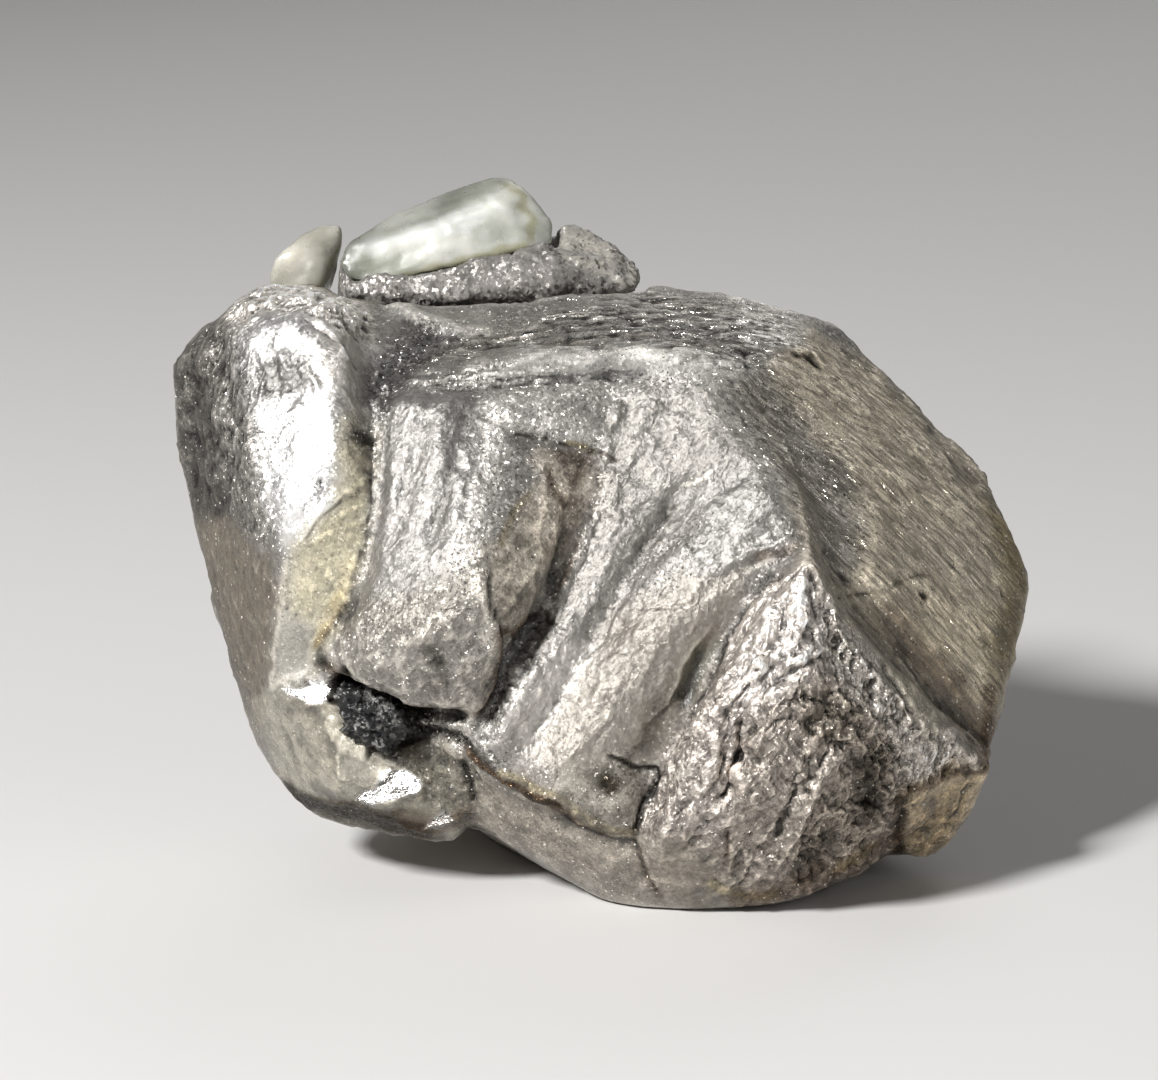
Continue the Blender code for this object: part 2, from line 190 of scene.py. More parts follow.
def shapeOf(kind, gap, side, reach):      # height at a distance from a line, from 0 to 1
    near = np.clip(1.0 - gap / reach, 0.0, 1.0)
    if kind == "round":
        return (1.0 - np.clip(gap / reach, 0.0, 1.0) ** 2) ** 2
    if kind == "sharp":
        return near ** 1.5
    signed = gap * side      # a lip rises on the left hand and falls away beyond
    return ramp(signed, -0.08, 0.08) * near ** 1.5


def drawForms(spots, forms):      # height of all the forms together, each tapering off at its ends
    height = np.zeros(len(spots))
    for kind, rise, reach, line in forms:
        low = np.min(line, axis=0) - reach
        high = np.max(line, axis=0) + reach
        near = np.all((spots > low) & (spots < high), axis=1)
        if not near.any():
            continue
        gap, side, run, length = lineDistance(spots[near], line)
        taper = ramp(np.minimum(run, length - run) + 0.35 * reach, 0.0, reach)
        height[near] += rise * taper * shapeOf(kind, gap, side, reach)
    return height


# The grown-together crystals. Places on their front are across and up, as seen.

# Ways that striations and grain run
slant = (-0.45, 0.15, -0.88)     # main crystal
down = (-0.28, 0.10, -0.95)      # middle crystal
fall = (0.60, 0.35, -0.72)       # right face
sideways = (1.0, 0.1, 0.05)      # top

# Outlines of the parts that have a relief or a finish of their own
clusterRegions = {
    "leftTop": [(-13.78, 9.21), (-11.18, 9.61), (-8.97, 8.61), (-8.29, 7.61), (-8.29, 4.81),
        (-9.97, 5.61), (-11.18, 5.21), (-12.7, 5.01), (-13.26, 6.41), (-13.58, 8.01)],
    "leftCrest": [(-14.14, 8.97), (-12.7, 10.21), (-11.18, 10.29), (-9.37, 9.69), (-8.05, 8.89),
        (-8.57, 8.09), (-9.77, 8.81), (-11.18, 9.37), (-12.7, 9.29), (-13.74, 8.57)],
    "leftSide": [(-16.38, 7.61), (-13.78, 9.01), (-13.18, 7.21), (-12.98, 4.81), (-12.7, 1.6),
        (-12.38, -0.8), (-12.18, -4.01), (-12.3, -6.01), (-14.18, -5.61), (-15.38, -0.8), (-16.18, 2.4)],
    "leftShoulder": [(-14.94, 7.77), (-13.74, 8.73), (-13.18, 7.53), (-12.94, 4.81), (-12.54, 2.0),
        (-12.26, -0.2), (-12.7, -0.88), (-13.58, 0.72), (-14.14, 3.12), (-14.7, 5.53)],
    "leftBulge": [(-12.7, 5.01), (-11.18, 5.81), (-10.17, 5.21), (-9.37, 2.4), (-9.97, 1.2),
        (-11.58, -0.2), (-12.38, 1.6)],
    "leftWrinkle": [(-13.18, 7.37), (-12.18, 7.53), (-10.98, 7.53), (-10.29, 6.89), (-10.53, 6.09),
        (-11.26, 5.77), (-12.18, 5.69), (-12.7, 5.21), (-13.18, 5.81)],
    "leftGrey": [(-10.45, 8.81), (-9.17, 8.61), (-8.29, 7.53), (-8.37, 4.41), (-9.25, 4.61),
        (-9.65, 5.61), (-10.45, 6.73)],
    "leftOlive": [(-9.37, 4.81), (-8.21, 4.41), (-8.21, 0.8), (-9.09, -2.0), (-9.77, -3.4),
        (-10.69, -5.01), (-11.78, -2.6), (-11.18, -0.2), (-9.57, 1.6)],
    "leftLow": [(-15.58, 0.8), (-14.18, 0.8), (-12.3, -0.8), (-11.98, -2.8), (-12.3, -6.01),
        (-12.86, -8.01), (-13.78, -5.61)],
    "leftFacet": [(-11.82, -2.6), (-10.45, -3.61), (-10.69, -5.13), (-11.58, -5.69), (-12.22, -6.01),
        (-11.98, -4.01)],
    "knob": [(-12.7, -6.41), (-11.86, -6.01), (-9.97, -6.01), (-9.17, -7.81), (-7.49, -8.69),
        (-5.57, -10.41), (-4.97, -11.94), (-10.37, -11.3), (-11.78, -10.01)],
    "middleStriped": [(-7.77, 5.93), (-3.56, 5.81), (-3.77, 2.8), (-5.17, -0.8), (-6.37, -2.4),
        (-8.57, -2.4), (-8.29, 1.6)],
    "middlePlate": [(-3.56, 6.21), (2.44, 6.73), (1.32, 3.4), (-1.36, 4.13), (-2.68, 4.29),
        (-3.16, 1.6), (-3.97, -0.8), (-4.97, -0.8), (-3.97, 2.8)],
    "window": [(-1.72, 3.28), (-0.16, 3.4), (1.04, 3.0), (0.84, 1.6), (-0.16, -0.2), (-0.76, -0.88),
        (-2.96, -0.8), (-2.36, 0.8), (-1.36, 2.4)],
    "plate": [(-3.77, -0.2), (-1.56, -0.2), (-1.56, -2.0), (-2.16, -3.0), (-2.56, -3.69),
        (-3.28, -3.69), (-3.69, -2.4)],
    "bulge": [(-8.57, -2.4), (-6.37, -2.0), (-3.97, -0.8), (-3.28, -3.69), (-3.56, -6.41),
        (-4.37, -7.81), (-7.17, -7.13), (-9.17, -6.41), (-10.17, -4.81)],
    "slabA": [(1.32, 5.61), (4.45, 6.21), (7.25, 2.8), (4.85, 1.6), (2.44, -0.8), (0.84, -4.21),
        (-0.84, -6.41), (-1.88, -8.21), (-3.36, -8.21), (-2.36, -5.61), (-1.16, -3.0), (0.44, 0.0)],
    "slabFoot": [(-0.76, -4.01), (0.84, -4.41), (-0.68, -6.41), (-1.8, -8.21), (-3.32, -8.21),
        (-2.56, -6.41)],
    "slabB": [(4.85, -1.4), (2.44, -2.4), (0.44, -4.41), (-1.96, -8.21), (-0.76, -10.01), (0.84, -8.81),
        (2.84, -8.01), (4.05, -6.01), (6.05, -3.2), (7.25, -0.8)],
    "patch": [(4.45, 1.6), (6.25, 2.4), (7.05, 2.8), (7.45, 2.0), (8.25, 1.2), (8.45, 0.4),
        (7.85, -0.32), (6.65, -0.4), (5.85, -1.0), (4.85, -1.4), (4.45, -0.4), (5.45, 0.8)],
    "ridgeStrip": [(4.45, 6.21), (6.25, 6.49), (7.33, 4.81), (8.45, 2.8), (8.97, 0.0), (8.45, 0.8),
        (7.45, 2.6), (5.85, 4.01), (4.85, 5.21)],
    "oliveGap": [(4.65, -4.01), (5.45, -4.41), (4.97, -6.01), (4.45, -6.65), (3.89, -6.17), (4.29, -5.01)],
    "darkFoot": [(2.44, -7.01), (4.45, -6.01), (4.05, -8.01), (3.04, -9.21), (1.64, -8.81)],
    "paleFacet": [(-1.24, -10.21), (-0.76, -9.21), (0.44, -8.61), (1.32, -8.69), (2.12, -9.13),
        (2.32, -10.01), (2.2, -11.46), (1.32, -11.54), (0.44, -11.02), (-0.56, -10.61)],
    "lilacFoot": [(-4.05, -8.09), (-2.16, -8.21), (-1.24, -10.21), (-1.56, -10.53), (-2.56, -10.01),
        (-4.05, -9.01)],
    "band": [(-7.37, -7.41), (-4.37, -8.21), (-0.76, -10.61), (2.24, -11.94), (3.24, -14.42),
        (0.84, -14.1), (-1.96, -12.5), (-4.37, -11.94), (-5.57, -10.41), (-7.17, -8.81)],
    "footFacet": [(2.44, -11.94), (4.85, -12.02), (6.25, -13.22), (6.65, -14.62), (4.45, -15.02),
        (3.04, -14.02)],
    "pyramid": [(9.05, -1.0), (10.86, -4.01), (13.06, -6.81), (16.26, -9.01), (13.06, -10.41),
        (13.06, -12.42), (9.45, -14.74), (6.45, -15.42), (4.85, -12.82), (2.44, -11.62), (3.56, -9.21),
        (5.57, -5.61), (7.25, -2.4)],
    "pyramidLeft": [(6.45, -3.4), (7.45, -4.81), (6.77, -7.61), (6.25, -10.41), (5.05, -13.62),
        (2.84, -11.7), (3.56, -9.21), (5.57, -5.61)],
    "pyramidRight": [(9.33, -1.4), (10.86, -4.01), (13.06, -6.81), (16.26, -9.01), (13.06, -10.01),
        (11.26, -8.21), (10.25, -6.01), (9.73, -4.01)],
    "pyramidTop": [(9.05, -0.8), (9.73, -2.4), (10.13, -4.41), (8.85, -5.61), (7.73, -6.41),
        (7.05, -6.89), (6.25, -6.01), (6.17, -4.81), (6.65, -3.0), (8.05, -2.0)],
    "pyramidDark": [(8.85, -6.01), (10.65, -6.01), (12.86, -8.21), (13.06, -10.41), (11.26, -12.42),
        (8.85, -13.62), (8.45, -12.42), (10.05, -10.01), (10.86, -8.41), (9.25, -8.01)],
    "flatBand": [(12.06, -4.61), (13.06, -5.13), (14.46, -7.21), (14.06, -7.81), (13.06, -6.41)],
    "tab": [(13.06, -10.41), (14.66, -9.41), (16.26, -9.21), (15.66, -10.82), (14.66, -12.42),
        (13.86, -12.66), (12.98, -12.34)],
    "rightFace": [(6.65, 6.41), (8.85, 8.41), (12.06, 6.81), (16.26, 2.4), (18.11, -1.8),
        (16.66, -6.01), (16.46, -8.61), (14.06, -6.41), (10.86, -3.2), (9.09, -0.8), (8.45, 2.8)],
    "rightDark": [(6.65, 6.21), (7.45, 7.21), (8.85, 4.81), (10.86, 2.8), (11.26, 0.0), (10.65, -2.08),
        (9.65, -0.8), (8.85, 2.4)],
    "rightBrown": [(11.46, -2.4), (12.86, -2.4), (14.86, -4.41), (16.46, -6.01), (16.58, -9.21),
        (15.06, -7.41), (13.06, -5.21)],
    "rightWarm": [(13.66, -2.24), (15.26, -2.0), (16.46, -3.28), (16.98, -5.61), (16.38, -6.61),
        (15.18, -4.89), (13.86, -3.52)],
    "rightRim": [(15.86, 2.8), (18.47, -0.8), (18.47, -4.01), (16.86, -6.41), (16.26, -4.01),
        (17.06, -2.0), (16.46, 0.4)],
    "paleRim": [(14.26, 4.41), (15.46, 4.01), (16.66, 2.4), (16.26, 1.8), (15.06, 2.6), (14.26, 3.61)],
    "top": [(-7.17, 8.01), (-3.16, 8.41), (2.44, 10.01), (7.25, 9.41), (8.45, 8.01), (6.65, 6.61),
        (2.44, 7.61), (-2.96, 7.61), (-7.17, 7.01)],
    "topDark": [(-1.56, 7.81), (-0.76, 8.73), (2.44, 9.41), (4.85, 9.01), (6.65, 8.21), (6.45, 7.61),
        (2.44, 7.61)],
    "topBright": [(6.25, 9.61), (8.65, 9.41), (8.85, 8.01), (7.25, 7.81), (6.05, 8.61)],
    "paleStrip": [(-2.96, 6.73), (-2.36, 7.53), (-0.76, 7.65), (0.84, 7.45), (2.44, 7.65), (4.05, 7.65),
        (5.05, 7.33), (6.53, 6.97), (6.77, 6.65), (4.85, 6.97), (2.44, 6.77), (0.84, 6.69), (-0.76, 6.65)],
    "topGlass": [(-7.65, 9.77), (-5.57, 9.29), (-3.56, 8.89), (-3.36, 8.17), (-4.77, 8.25),
        (-6.17, 8.73), (-7.37, 9.29)],
    "flank": [(-7.57, -7.29), (-5.57, -8.09), (-4.17, -9.29), (-4.29, -11.94), (-5.57, -10.9),
        (-6.97, -9.29)],
    "facetUpper": [(-11.78, -6.05), (-10.74, -5.61), (-10.13, -5.73), (-9.89, -6.01), (-10.25, -6.45),
        (-10.74, -6.49), (-11.38, -6.29)],
    "facetLower": [(-8.97, -10.45), (-8.21, -9.89), (-7.49, -9.25), (-7.05, -9.17), (-6.49, -9.45),
        (-6.33, -9.81), (-6.61, -10.13), (-7.25, -10.53), (-7.89, -10.69), (-8.57, -10.65)],
    "facetFoot": [(-6.17, -11.54), (-5.85, -11.06), (-5.41, -10.69), (-4.89, -11.18), (-5.09, -11.42),
        (-5.65, -11.54)],
    "facetPale": [(-9.69, -7.93), (-8.69, -8.33), (-7.57, -8.89), (-8.29, -9.73), (-9.01, -10.33),
        (-9.65, -10.01)],
    "micaPatch": [(-8.29, 5.93), (-8.13, 6.97), (-7.49, 7.81), (-6.17, 8.49), (-4.97, 8.41),
        (-5.09, 7.81), (-5.97, 7.13), (-6.97, 6.61), (-7.57, 5.81), (-7.85, 5.01), (-8.29, 4.89)],
    "glitter": [(0.84, 3.2), (1.32, 2.8), (0.84, 0.8), (-0.16, -1.4), (-0.92, -2.88), (-1.56, -2.8),
        (-0.52, -1.2), (0.24, 0.8)],
    "micaFlake": [(-9.29, 4.53), (-8.85, 4.65), (-8.21, 4.41), (-8.09, 3.61), (-8.77, 3.48), (-9.09, 3.97)],
    "seam": [(-9.97, -5.61), (-8.77, -6.01), (-7.17, -7.01), (-5.57, -7.05), (-4.17, -7.93),
        (-3.32, -6.09), (-3.16, -4.33), (-2.28, -3.69), (-1.24, -2.88), (-0.92, -2.88), (-1.56, -4.01),
        (-2.28, -5.69), (-3.77, -7.81), (-2.36, -10.01), (-3.16, -9.61), (-5.37, -8.21), (-7.37, -7.53),
        (-7.37, -8.69), (-9.17, -7.81)],
}

# Lines that are both cut in and stained
plateCrack = [(-2.68, 4.29), (-1.36, 4.13), (-0.16, 3.77), (1.04, 3.44), (1.56, 3.28)]
chipRim = [(1.24, -8.69), (2.24, -9.09), (3.08, -9.17), (3.16, -9.53), (2.68, -10.21), (2.44, -10.9),
    (2.28, -11.7)]
footCrack = [(2.16, -11.94), (2.44, -12.9), (2.68, -13.5), (3.24, -14.3)]
footPit = [(1.12, -9.65), (1.36, -9.89)]
tabSeam = [(13.34, -9.81), (12.94, -11.02), (12.74, -12.22)]
faceCrack = [(10.29, -2.32), (12.06, -2.0), (13.86, -1.28)]

# Steps, grooves and edges: kind, rise, reach and line
clusterForms = {
    "left crystal": [
        ("sharp", -0.14, 0.3, [(-14.18, 8.61), (-13.58, 8.81), (-12.7, 9.41), (-11.18, 9.25),
            (-9.37, 8.61), (-8.57, 7.81)]),
        ("round", 0.12, 0.5, [(-14.18, 9.13), (-12.7, 9.93), (-10.78, 9.73), (-8.77, 8.61)]),
        ("sharp", -0.12, 0.25, [(-11.1, 8.97), (-10.29, 8.33), (-9.37, 7.81), (-8.69, 6.73)]),
        ("sharp", 0.10, 0.2, [(-10.45, 8.73), (-9.65, 8.01), (-9.25, 7.13)]),
        ("round", 0.16, 1.0, [(-12.7, 7.81), (-11.58, 8.41), (-10.98, 8.21)]),
        ("sharp", 0.12, 0.22, [(-12.7, 7.53), (-12.54, 6.73), (-12.78, 5.69), (-12.86, 5.01)]),
        ("sharp", 0.10, 0.2, [(-12.38, 6.33), (-11.78, 6.89), (-11.18, 6.97), (-10.69, 6.57),
            (-10.45, 5.81)]),
        ("sharp", -0.12, 0.2, [(-12.54, 5.93), (-11.9, 6.17), (-11.26, 5.85), (-11.66, 5.53)]),
        ("sharp", 0.08, 0.18, [(-12.46, 5.53), (-11.78, 5.77), (-11.18, 6.17)]),
        ("sharp", -0.10, 0.18, [(-12.3, 6.73), (-12.14, 7.41), (-11.58, 7.53)]),
        ("round", 0.22, 1.6, [(-11.5, 4.81), (-10.98, 2.8), (-11.18, 0.8)]),
        ("sharp", -0.05, 0.12, [(-12.7, 4.01), (-11.58, 4.13), (-10.78, 3.52), (-9.85, 3.36)]),
        ("lip", 0.16, 0.6, [(-11.18, -0.2), (-10.29, 1.0), (-9.37, 1.76), (-8.29, 2.48)]),
        ("sharp", -0.16, 0.22, [(-10.29, 2.4), (-10.29, 2.16)]),
        ("round", -0.22, 0.6, [(-15.1, 6.73), (-15.26, 4.81), (-15.42, 3.12), (-15.02, 1.68)]),
        ("round", 0.16, 0.4, [(-15.58, 7.69), (-15.82, 6.73), (-15.82, 5.41), (-15.74, 4.01),
            (-15.5, 2.6)]),
        ("round", -0.14, 0.5, [(-14.58, 8.41), (-14.3, 6.73), (-13.66, 4.81), (-13.9, 2.8)]),
        ("round", -0.10, 0.4, [(-13.9, 2.8), (-14.3, 1.4), (-14.58, 0.8)]),
        ("round", 0.10, 0.5, [(-13.26, 7.21), (-13.18, 4.81), (-12.86, 2.4), (-12.54, 0.0)]),
        ("sharp", 0.06, 0.2, [(-11.78, -0.8), (-11.9, -2.4), (-12.1, -4.01), (-12.3, -5.93)]),
        ("lip", 0.10, 0.5, [(-12.3, -6.09), (-11.58, -5.65), (-10.69, -5.13), (-10.37, -4.21),
            (-9.89, -3.4), (-9.33, -2.52), (-9.01, -1.2), (-8.29, 1.4)]),
        ("sharp", -0.06, 0.14, [(-11.82, -2.64), (-10.45, -3.52)]),
        ("lip", 0.08, 0.4, [(-11.18, -0.32), (-9.97, 0.2), (-9.09, 0.48), (-8.29, 0.88)]),
        ("sharp", 0.07, 0.15, [(-10.45, -0.64), (-9.77, -1.6), (-9.37, -2.48)]),
        ("sharp", 0.06, 0.12, [(-9.97, 0.8), (-9.09, 1.12), (-8.45, 1.6)]),
        ("round", -0.10, 0.6, [(-13.58, -0.8), (-13.18, -4.01), (-12.94, -6.41)]),
        ("sharp", -0.10, 0.2, [(-8.37, 5.61), (-8.21, 3.2), (-8.29, 1.4)]),
        ("round", -0.12, 0.8, [(-9.09, 8.33), (-8.69, 6.73), (-8.85, 5.21)]),
    ],
    "knob": [
        ("round", 0.6, 0.7, [(-9.97, -6.41), (-9.65, -7.29), (-9.17, -8.09), (-8.29, -8.57)]),
        ("sharp", 0.10, 0.2, [(-9.85, -6.53), (-9.17, -7.81), (-8.29, -8.33), (-7.49, -8.73)]),
        ("sharp", 0.08, 0.2, [(-11.02, -6.65), (-10.29, -6.53), (-9.73, -6.89), (-9.57, -8.01),
            (-9.65, -9.41)]),
        ("round", -0.12, 0.5, [(-10.45, -7.21), (-10.17, -9.01), (-9.97, -10.01)]),
        ("sharp", 0.10, 0.2, [(-10.86, -10.41), (-9.17, -10.53), (-7.37, -11.3), (-5.57, -11.78)]),
        ("round", -0.15, 0.5, [(-7.37, -8.89), (-6.17, -10.01), (-5.65, -10.65)]),
    ],
    "middle crystal": [
        ("sharp", -0.06, 0.14, [(-7.77, 6.05), (-5.17, 6.37), (-1.56, 6.53), (2.44, 6.77)]),
        ("sharp", -0.07, 0.12, [(-7.17, 6.45), (-4.37, 6.73), (-2.96, 6.97)]),
        ("sharp", -0.05, 0.12, [(-5.57, 5.93), (-2.36, 6.25), (1.64, 6.45)]),
        ("sharp", 0.07, 0.10, [(-7.37, 6.25), (-4.37, 6.53), (-0.76, 6.81)]),
        ("round", 0.05, 0.5, [(-6.77, 5.61), (-7.09, 3.61), (-7.73, 1.2), (-8.05, -0.8)]),
        ("sharp", -0.04, 0.3, [(-6.05, 5.81), (-6.21, 4.41), (-6.69, 2.8), (-7.25, 1.4), (-7.73, -0.2)]),
        ("round", 0.04, 0.5, [(-5.33, 5.61), (-5.89, 3.61), (-6.69, 1.2), (-7.25, -0.8)]),
        ("round", -0.06, 0.4, [(-4.29, 5.77), (-4.77, 4.33), (-5.17, 2.8), (-5.49, 1.6), (-6.05, -0.2)]),
        ("round", -0.05, 0.3, [(-3.56, 5.21), (-3.89, 3.81), (-4.37, 2.4), (-4.69, 0.8)]),
        ("round", 0.05, 0.6, [(-2.76, 5.61), (-3.16, 3.61), (-3.89, 0.8)]),
        ("sharp", -0.05, 0.14, plateCrack),
        ("lip", 0.08, 0.5, [(-1.24, -0.8), (-1.56, 0.2), (-1.24, 1.6), (-1.44, 2.8), (-1.64, 3.36)]),
        ("sharp", 0.08, 0.15, [(-1.76, -0.8), (-2.36, -1.8), (-2.96, -2.8)]),
        ("sharp", -0.06, 0.2, [(-1.08, 2.88), (-0.92, 2.0), (-0.76, 1.4)]),
        ("lip", 0.28, 0.9, [(-4.37, -7.89), (-3.97, -6.89), (-3.56, -6.01), (-3.24, -4.81),
            (-3.28, -3.69), (-3.69, -2.4), (-3.77, -0.88)]),
        ("lip", 0.25, 0.7, [(-9.77, -5.61), (-9.09, -6.41), (-8.17, -6.89), (-7.17, -7.21),
            (-6.17, -7.29), (-4.37, -7.93)]),
        ("sharp", -0.18, 0.22, [(-9.45, -5.13), (-9.17, -5.69), (-8.85, -6.17)]),
        ("round", -0.16, 0.25, [(-6.05, -6.89), (-5.81, -7.21)]),
        ("round", -0.06, 0.7, [(-5.73, -4.01), (-5.33, -5.29)]),
        ("round", -0.08, 0.5, [(-5.69, -4.61), (-5.25, -5.61)]),
        ("round", -0.40, 0.5, [(-1.08, -2.88), (-1.96, -3.69), (-2.76, -4.81), (-3.16, -6.09),
            (-3.81, -7.37)]),
        ("round", -0.35, 0.5, [(-9.37, -6.89), (-7.77, -7.81), (-5.57, -7.73), (-4.37, -8.09)]),
        ("round", 0.22, 0.4, [(-5.37, -7.53), (-4.37, -7.29)]),
    ],
    "main crystal": [
        ("round", 0.14, 0.6, [(1.72, 5.61), (1.16, 3.81), (1.32, 2.4), (0.68, 0.6), (-0.04, -1.0),
            (-1.24, -3.4), (-2.36, -5.81), (-3.08, -8.01)]),
        ("round", -0.14, 0.5, [(3.73, 1.4), (2.64, -0.32), (1.72, -1.8)]),
        ("round", -0.07, 0.7, [(1.72, -1.8), (0.52, -4.01), (-0.76, -6.41), (-1.72, -7.93)]),
        ("lip", 0.07, 1.0, [(3.73, 1.28), (2.84, -0.8), (1.04, -4.01), (-0.08, -5.21), (-0.68, -6.41),
            (-1.36, -7.29), (-1.96, -8.21)]),
        ("round", 0.12, 0.5, [(4.45, -0.2), (3.04, -1.4), (1.64, -3.2)]),
        ("sharp", -0.05, 0.10, [(0.84, -2.8), (2.64, -2.76), (4.53, -2.64)]),
        ("round", -0.25, 0.5, [(4.97, -4.41), (4.45, -5.61), (4.13, -6.49)]),
        ("sharp", 0.10, 0.15, [(4.73, -4.01), (4.05, -5.29), (3.56, -6.61), (2.84, -7.29)]),
        ("round", -0.15, 0.6, [(3.56, -6.61), (2.84, -8.21), (2.44, -8.81)]),
        ("lip", 0.08, 0.5, [(8.45, 0.32), (7.65, -0.24), (6.65, -0.4), (5.73, -1.04)]),
        ("round", -0.09, 0.4, [(8.45, -0.32), (7.33, -0.64), (6.25, -1.4)]),
        ("sharp", 0.10, 0.2, [(6.25, 6.21), (7.33, 5.01), (8.25, 4.01), (8.53, 3.0)]),
        ("sharp", -0.05, 0.16, [(5.97, 5.69), (7.05, 4.33), (7.97, 3.2), (8.65, 1.6)]),
        ("sharp", 0.07, 0.3, [(8.53, 2.8), (8.97, 0.8), (9.09, -0.72)]),
        ("sharp", -0.14, 0.16, chipRim),
        ("round", 0.16, 0.22, [(2.64, -9.61), (2.88, -9.61)]),
        ("lip", 0.18, 0.4, [(-5.97, -7.89), (-4.17, -8.93), (-3.16, -9.65), (-2.56, -10.01),
            (-1.56, -10.53), (-0.16, -11.06), (0.84, -11.7), (2.28, -11.94)]),
        ("sharp", -0.12, 0.2, [(-4.69, -8.89), (-4.45, -9.61), (-4.13, -10.61)]),
        ("sharp", -0.14, 0.18, [(-2.84, -10.01), (-2.16, -10.29)]),
        ("sharp", -0.14, 0.18, [(-1.36, -10.49), (-0.76, -10.74)]),
        ("sharp", -0.10, 0.16, footCrack),
        ("round", 0.12, 0.35, [(2.44, -13.7), (2.84, -13.82)]),
        ("sharp", -0.08, 0.15, [(6.01, -11.62), (5.93, -12.74)]),
        ("round", -0.10, 0.6, footPit),
        ("sharp", -0.08, 0.14, [(-1.04, -8.41), (-0.92, -9.41), (-1.16, -10.21)]),
    ],
    "pyramid": [
        ("lip", 0.16, 0.9, [(8.85, -1.28), (7.25, -2.4), (6.25, -3.61), (5.57, -5.61), (4.73, -7.61),
            (3.56, -9.21), (2.84, -10.41), (2.44, -11.7)]),
        ("sharp", 0.14, 0.3, [(9.05, -0.8), (8.93, -2.4), (8.73, -4.21)]),
        ("sharp", 0.10, 0.25, [(7.85, -2.08), (7.45, -3.4), (6.77, -4.61)]),
        ("sharp", 0.09, 0.22, [(8.45, -2.6), (8.25, -4.01), (7.89, -4.81)]),
        ("sharp", -0.07, 0.2, [(8.37, -2.4), (8.13, -3.69)]),
        ("sharp", -0.07, 0.2, [(9.33, -2.0), (9.49, -3.28), (9.33, -4.01)]),
        ("sharp", -0.07, 0.2, [(7.05, -3.2), (6.65, -4.41), (6.53, -5.61)]),
        ("sharp", 0.14, 0.22, [(9.65, -4.01), (8.85, -4.61), (8.05, -4.89)]),
        ("sharp", -0.09, 0.2, [(9.81, -4.61), (8.85, -5.13), (7.85, -5.61)]),
        ("sharp", 0.20, 0.25, [(7.17, -4.73), (7.41, -5.21), (7.09, -6.01)]),
        ("sharp", 0.18, 0.25, [(7.57, -6.65), (7.97, -6.17), (8.45, -5.85)]),
        ("round", 0.20, 0.4, [(8.05, -6.89), (8.85, -6.81)]),
        ("sharp", -0.32, 0.24, [(6.57, -7.29), (6.37, -8.61), (6.09, -9.61), (5.73, -10.41)]),
        ("round", 0.18, 0.5, [(5.73, -6.41), (5.45, -8.01), (5.05, -9.61), (4.45, -11.22)]),
        ("sharp", -0.12, 0.2, [(5.33, -6.01), (4.85, -7.21), (5.33, -7.53)]),
        ("round", 0.20, 0.5, [(7.25, -7.81), (6.65, -9.01), (7.05, -10.41)]),
        ("sharp", 0.30, 0.3, [(10.78, -8.33), (10.05, -8.89), (9.45, -9.93), (8.85, -11.22),
            (8.37, -12.34), (7.73, -13.3)]),
        ("sharp", -0.22, 0.35, [(9.89, -10.01), (9.33, -11.3), (8.85, -12.42)]),
        ("sharp", -0.16, 0.3, [(8.85, -9.13), (8.45, -10.41), (7.85, -12.02)]),
        ("round", -0.30, 0.6, [(11.74, -8.21), (11.98, -9.61), (11.58, -10.82)]),
        ("round", -0.26, 0.6, [(9.09, -12.82), (10.05, -12.9)]),
        ("round", -0.22, 0.5, [(10.05, -6.41), (9.33, -7.61)]),
        ("sharp", 0.18, 0.25, [(10.86, -6.41), (10.25, -7.41), (10.37, -8.21)]),
        ("sharp", 0.18, 0.3, [(12.06, -7.41), (11.26, -7.93), (10.25, -8.09)]),
        ("sharp", 0.24, 0.3, [(9.17, -0.88), (9.73, -2.2), (10.29, -3.4), (10.86, -4.61)]),
        ("sharp", 0.20, 0.3, [(10.86, -4.61), (12.06, -5.61), (13.06, -6.89), (13.46, -7.81)]),
        ("sharp", -0.18, 0.2, [(12.14, -4.89), (12.86, -6.01), (13.34, -7.01)]),
        ("sharp", 0.20, 0.25, [(12.66, -4.81), (13.46, -5.93), (14.26, -6.89), (15.46, -7.81),
            (16.38, -8.81)]),
        ("round", 0.25, 0.5, [(15.46, -8.73), (15.86, -8.89)]),
        ("round", 0.20, 0.5, [(14.54, -7.81), (15.06, -7.93)]),
        ("round", -0.20, 0.4, [(14.26, -9.01), (14.86, -9.41)]),
        ("sharp", -0.30, 0.35, tabSeam),
        ("sharp", -0.10, 0.2, [(15.46, -10.01), (15.06, -11.02)]),
    ],
    "right face": [
        ("round", -0.12, 1.0, [(6.93, 5.61), (8.05, 4.01), (9.45, 2.4), (10.37, 0.4), (10.86, -1.8)]),
        ("round", -0.12, 0.5, [(9.65, -0.2), (10.37, -1.28), (10.86, -2.0)]),
        ("sharp", 0.05, 0.3, [(11.66, -0.8), (13.06, -2.4), (14.26, -4.41)]),
        ("sharp", 0.05, 0.3, [(8.85, 5.61), (10.25, 4.01), (11.26, 2.4)]),
        ("sharp", -0.05, 0.2, faceCrack),
        ("sharp", -0.03, 0.2, [(10.86, -1.72), (12.66, -1.48), (15.26, -1.08)]),
        ("sharp", -0.12, 0.15, [(8.69, 7.49), (9.25, 7.29), (9.65, 6.89)]),
        ("round", 0.10, 0.25, [(8.85, 7.61), (9.49, 7.33), (9.89, 6.89)]),
        ("round", -0.16, 0.2, [(13.82, -2.08), (13.9, -2.4)]),
        ("round", -0.12, 0.15, [(16.86, -2.0), (16.9, -2.4)]),
        ("round", 0.12, 0.5, [(12.06, 2.8), (14.06, 1.8), (15.86, 0.4)]),
        ("round", -0.10, 0.7, [(12.06, -3.0), (13.26, -4.61), (14.46, -6.21), (15.86, -7.61)]),
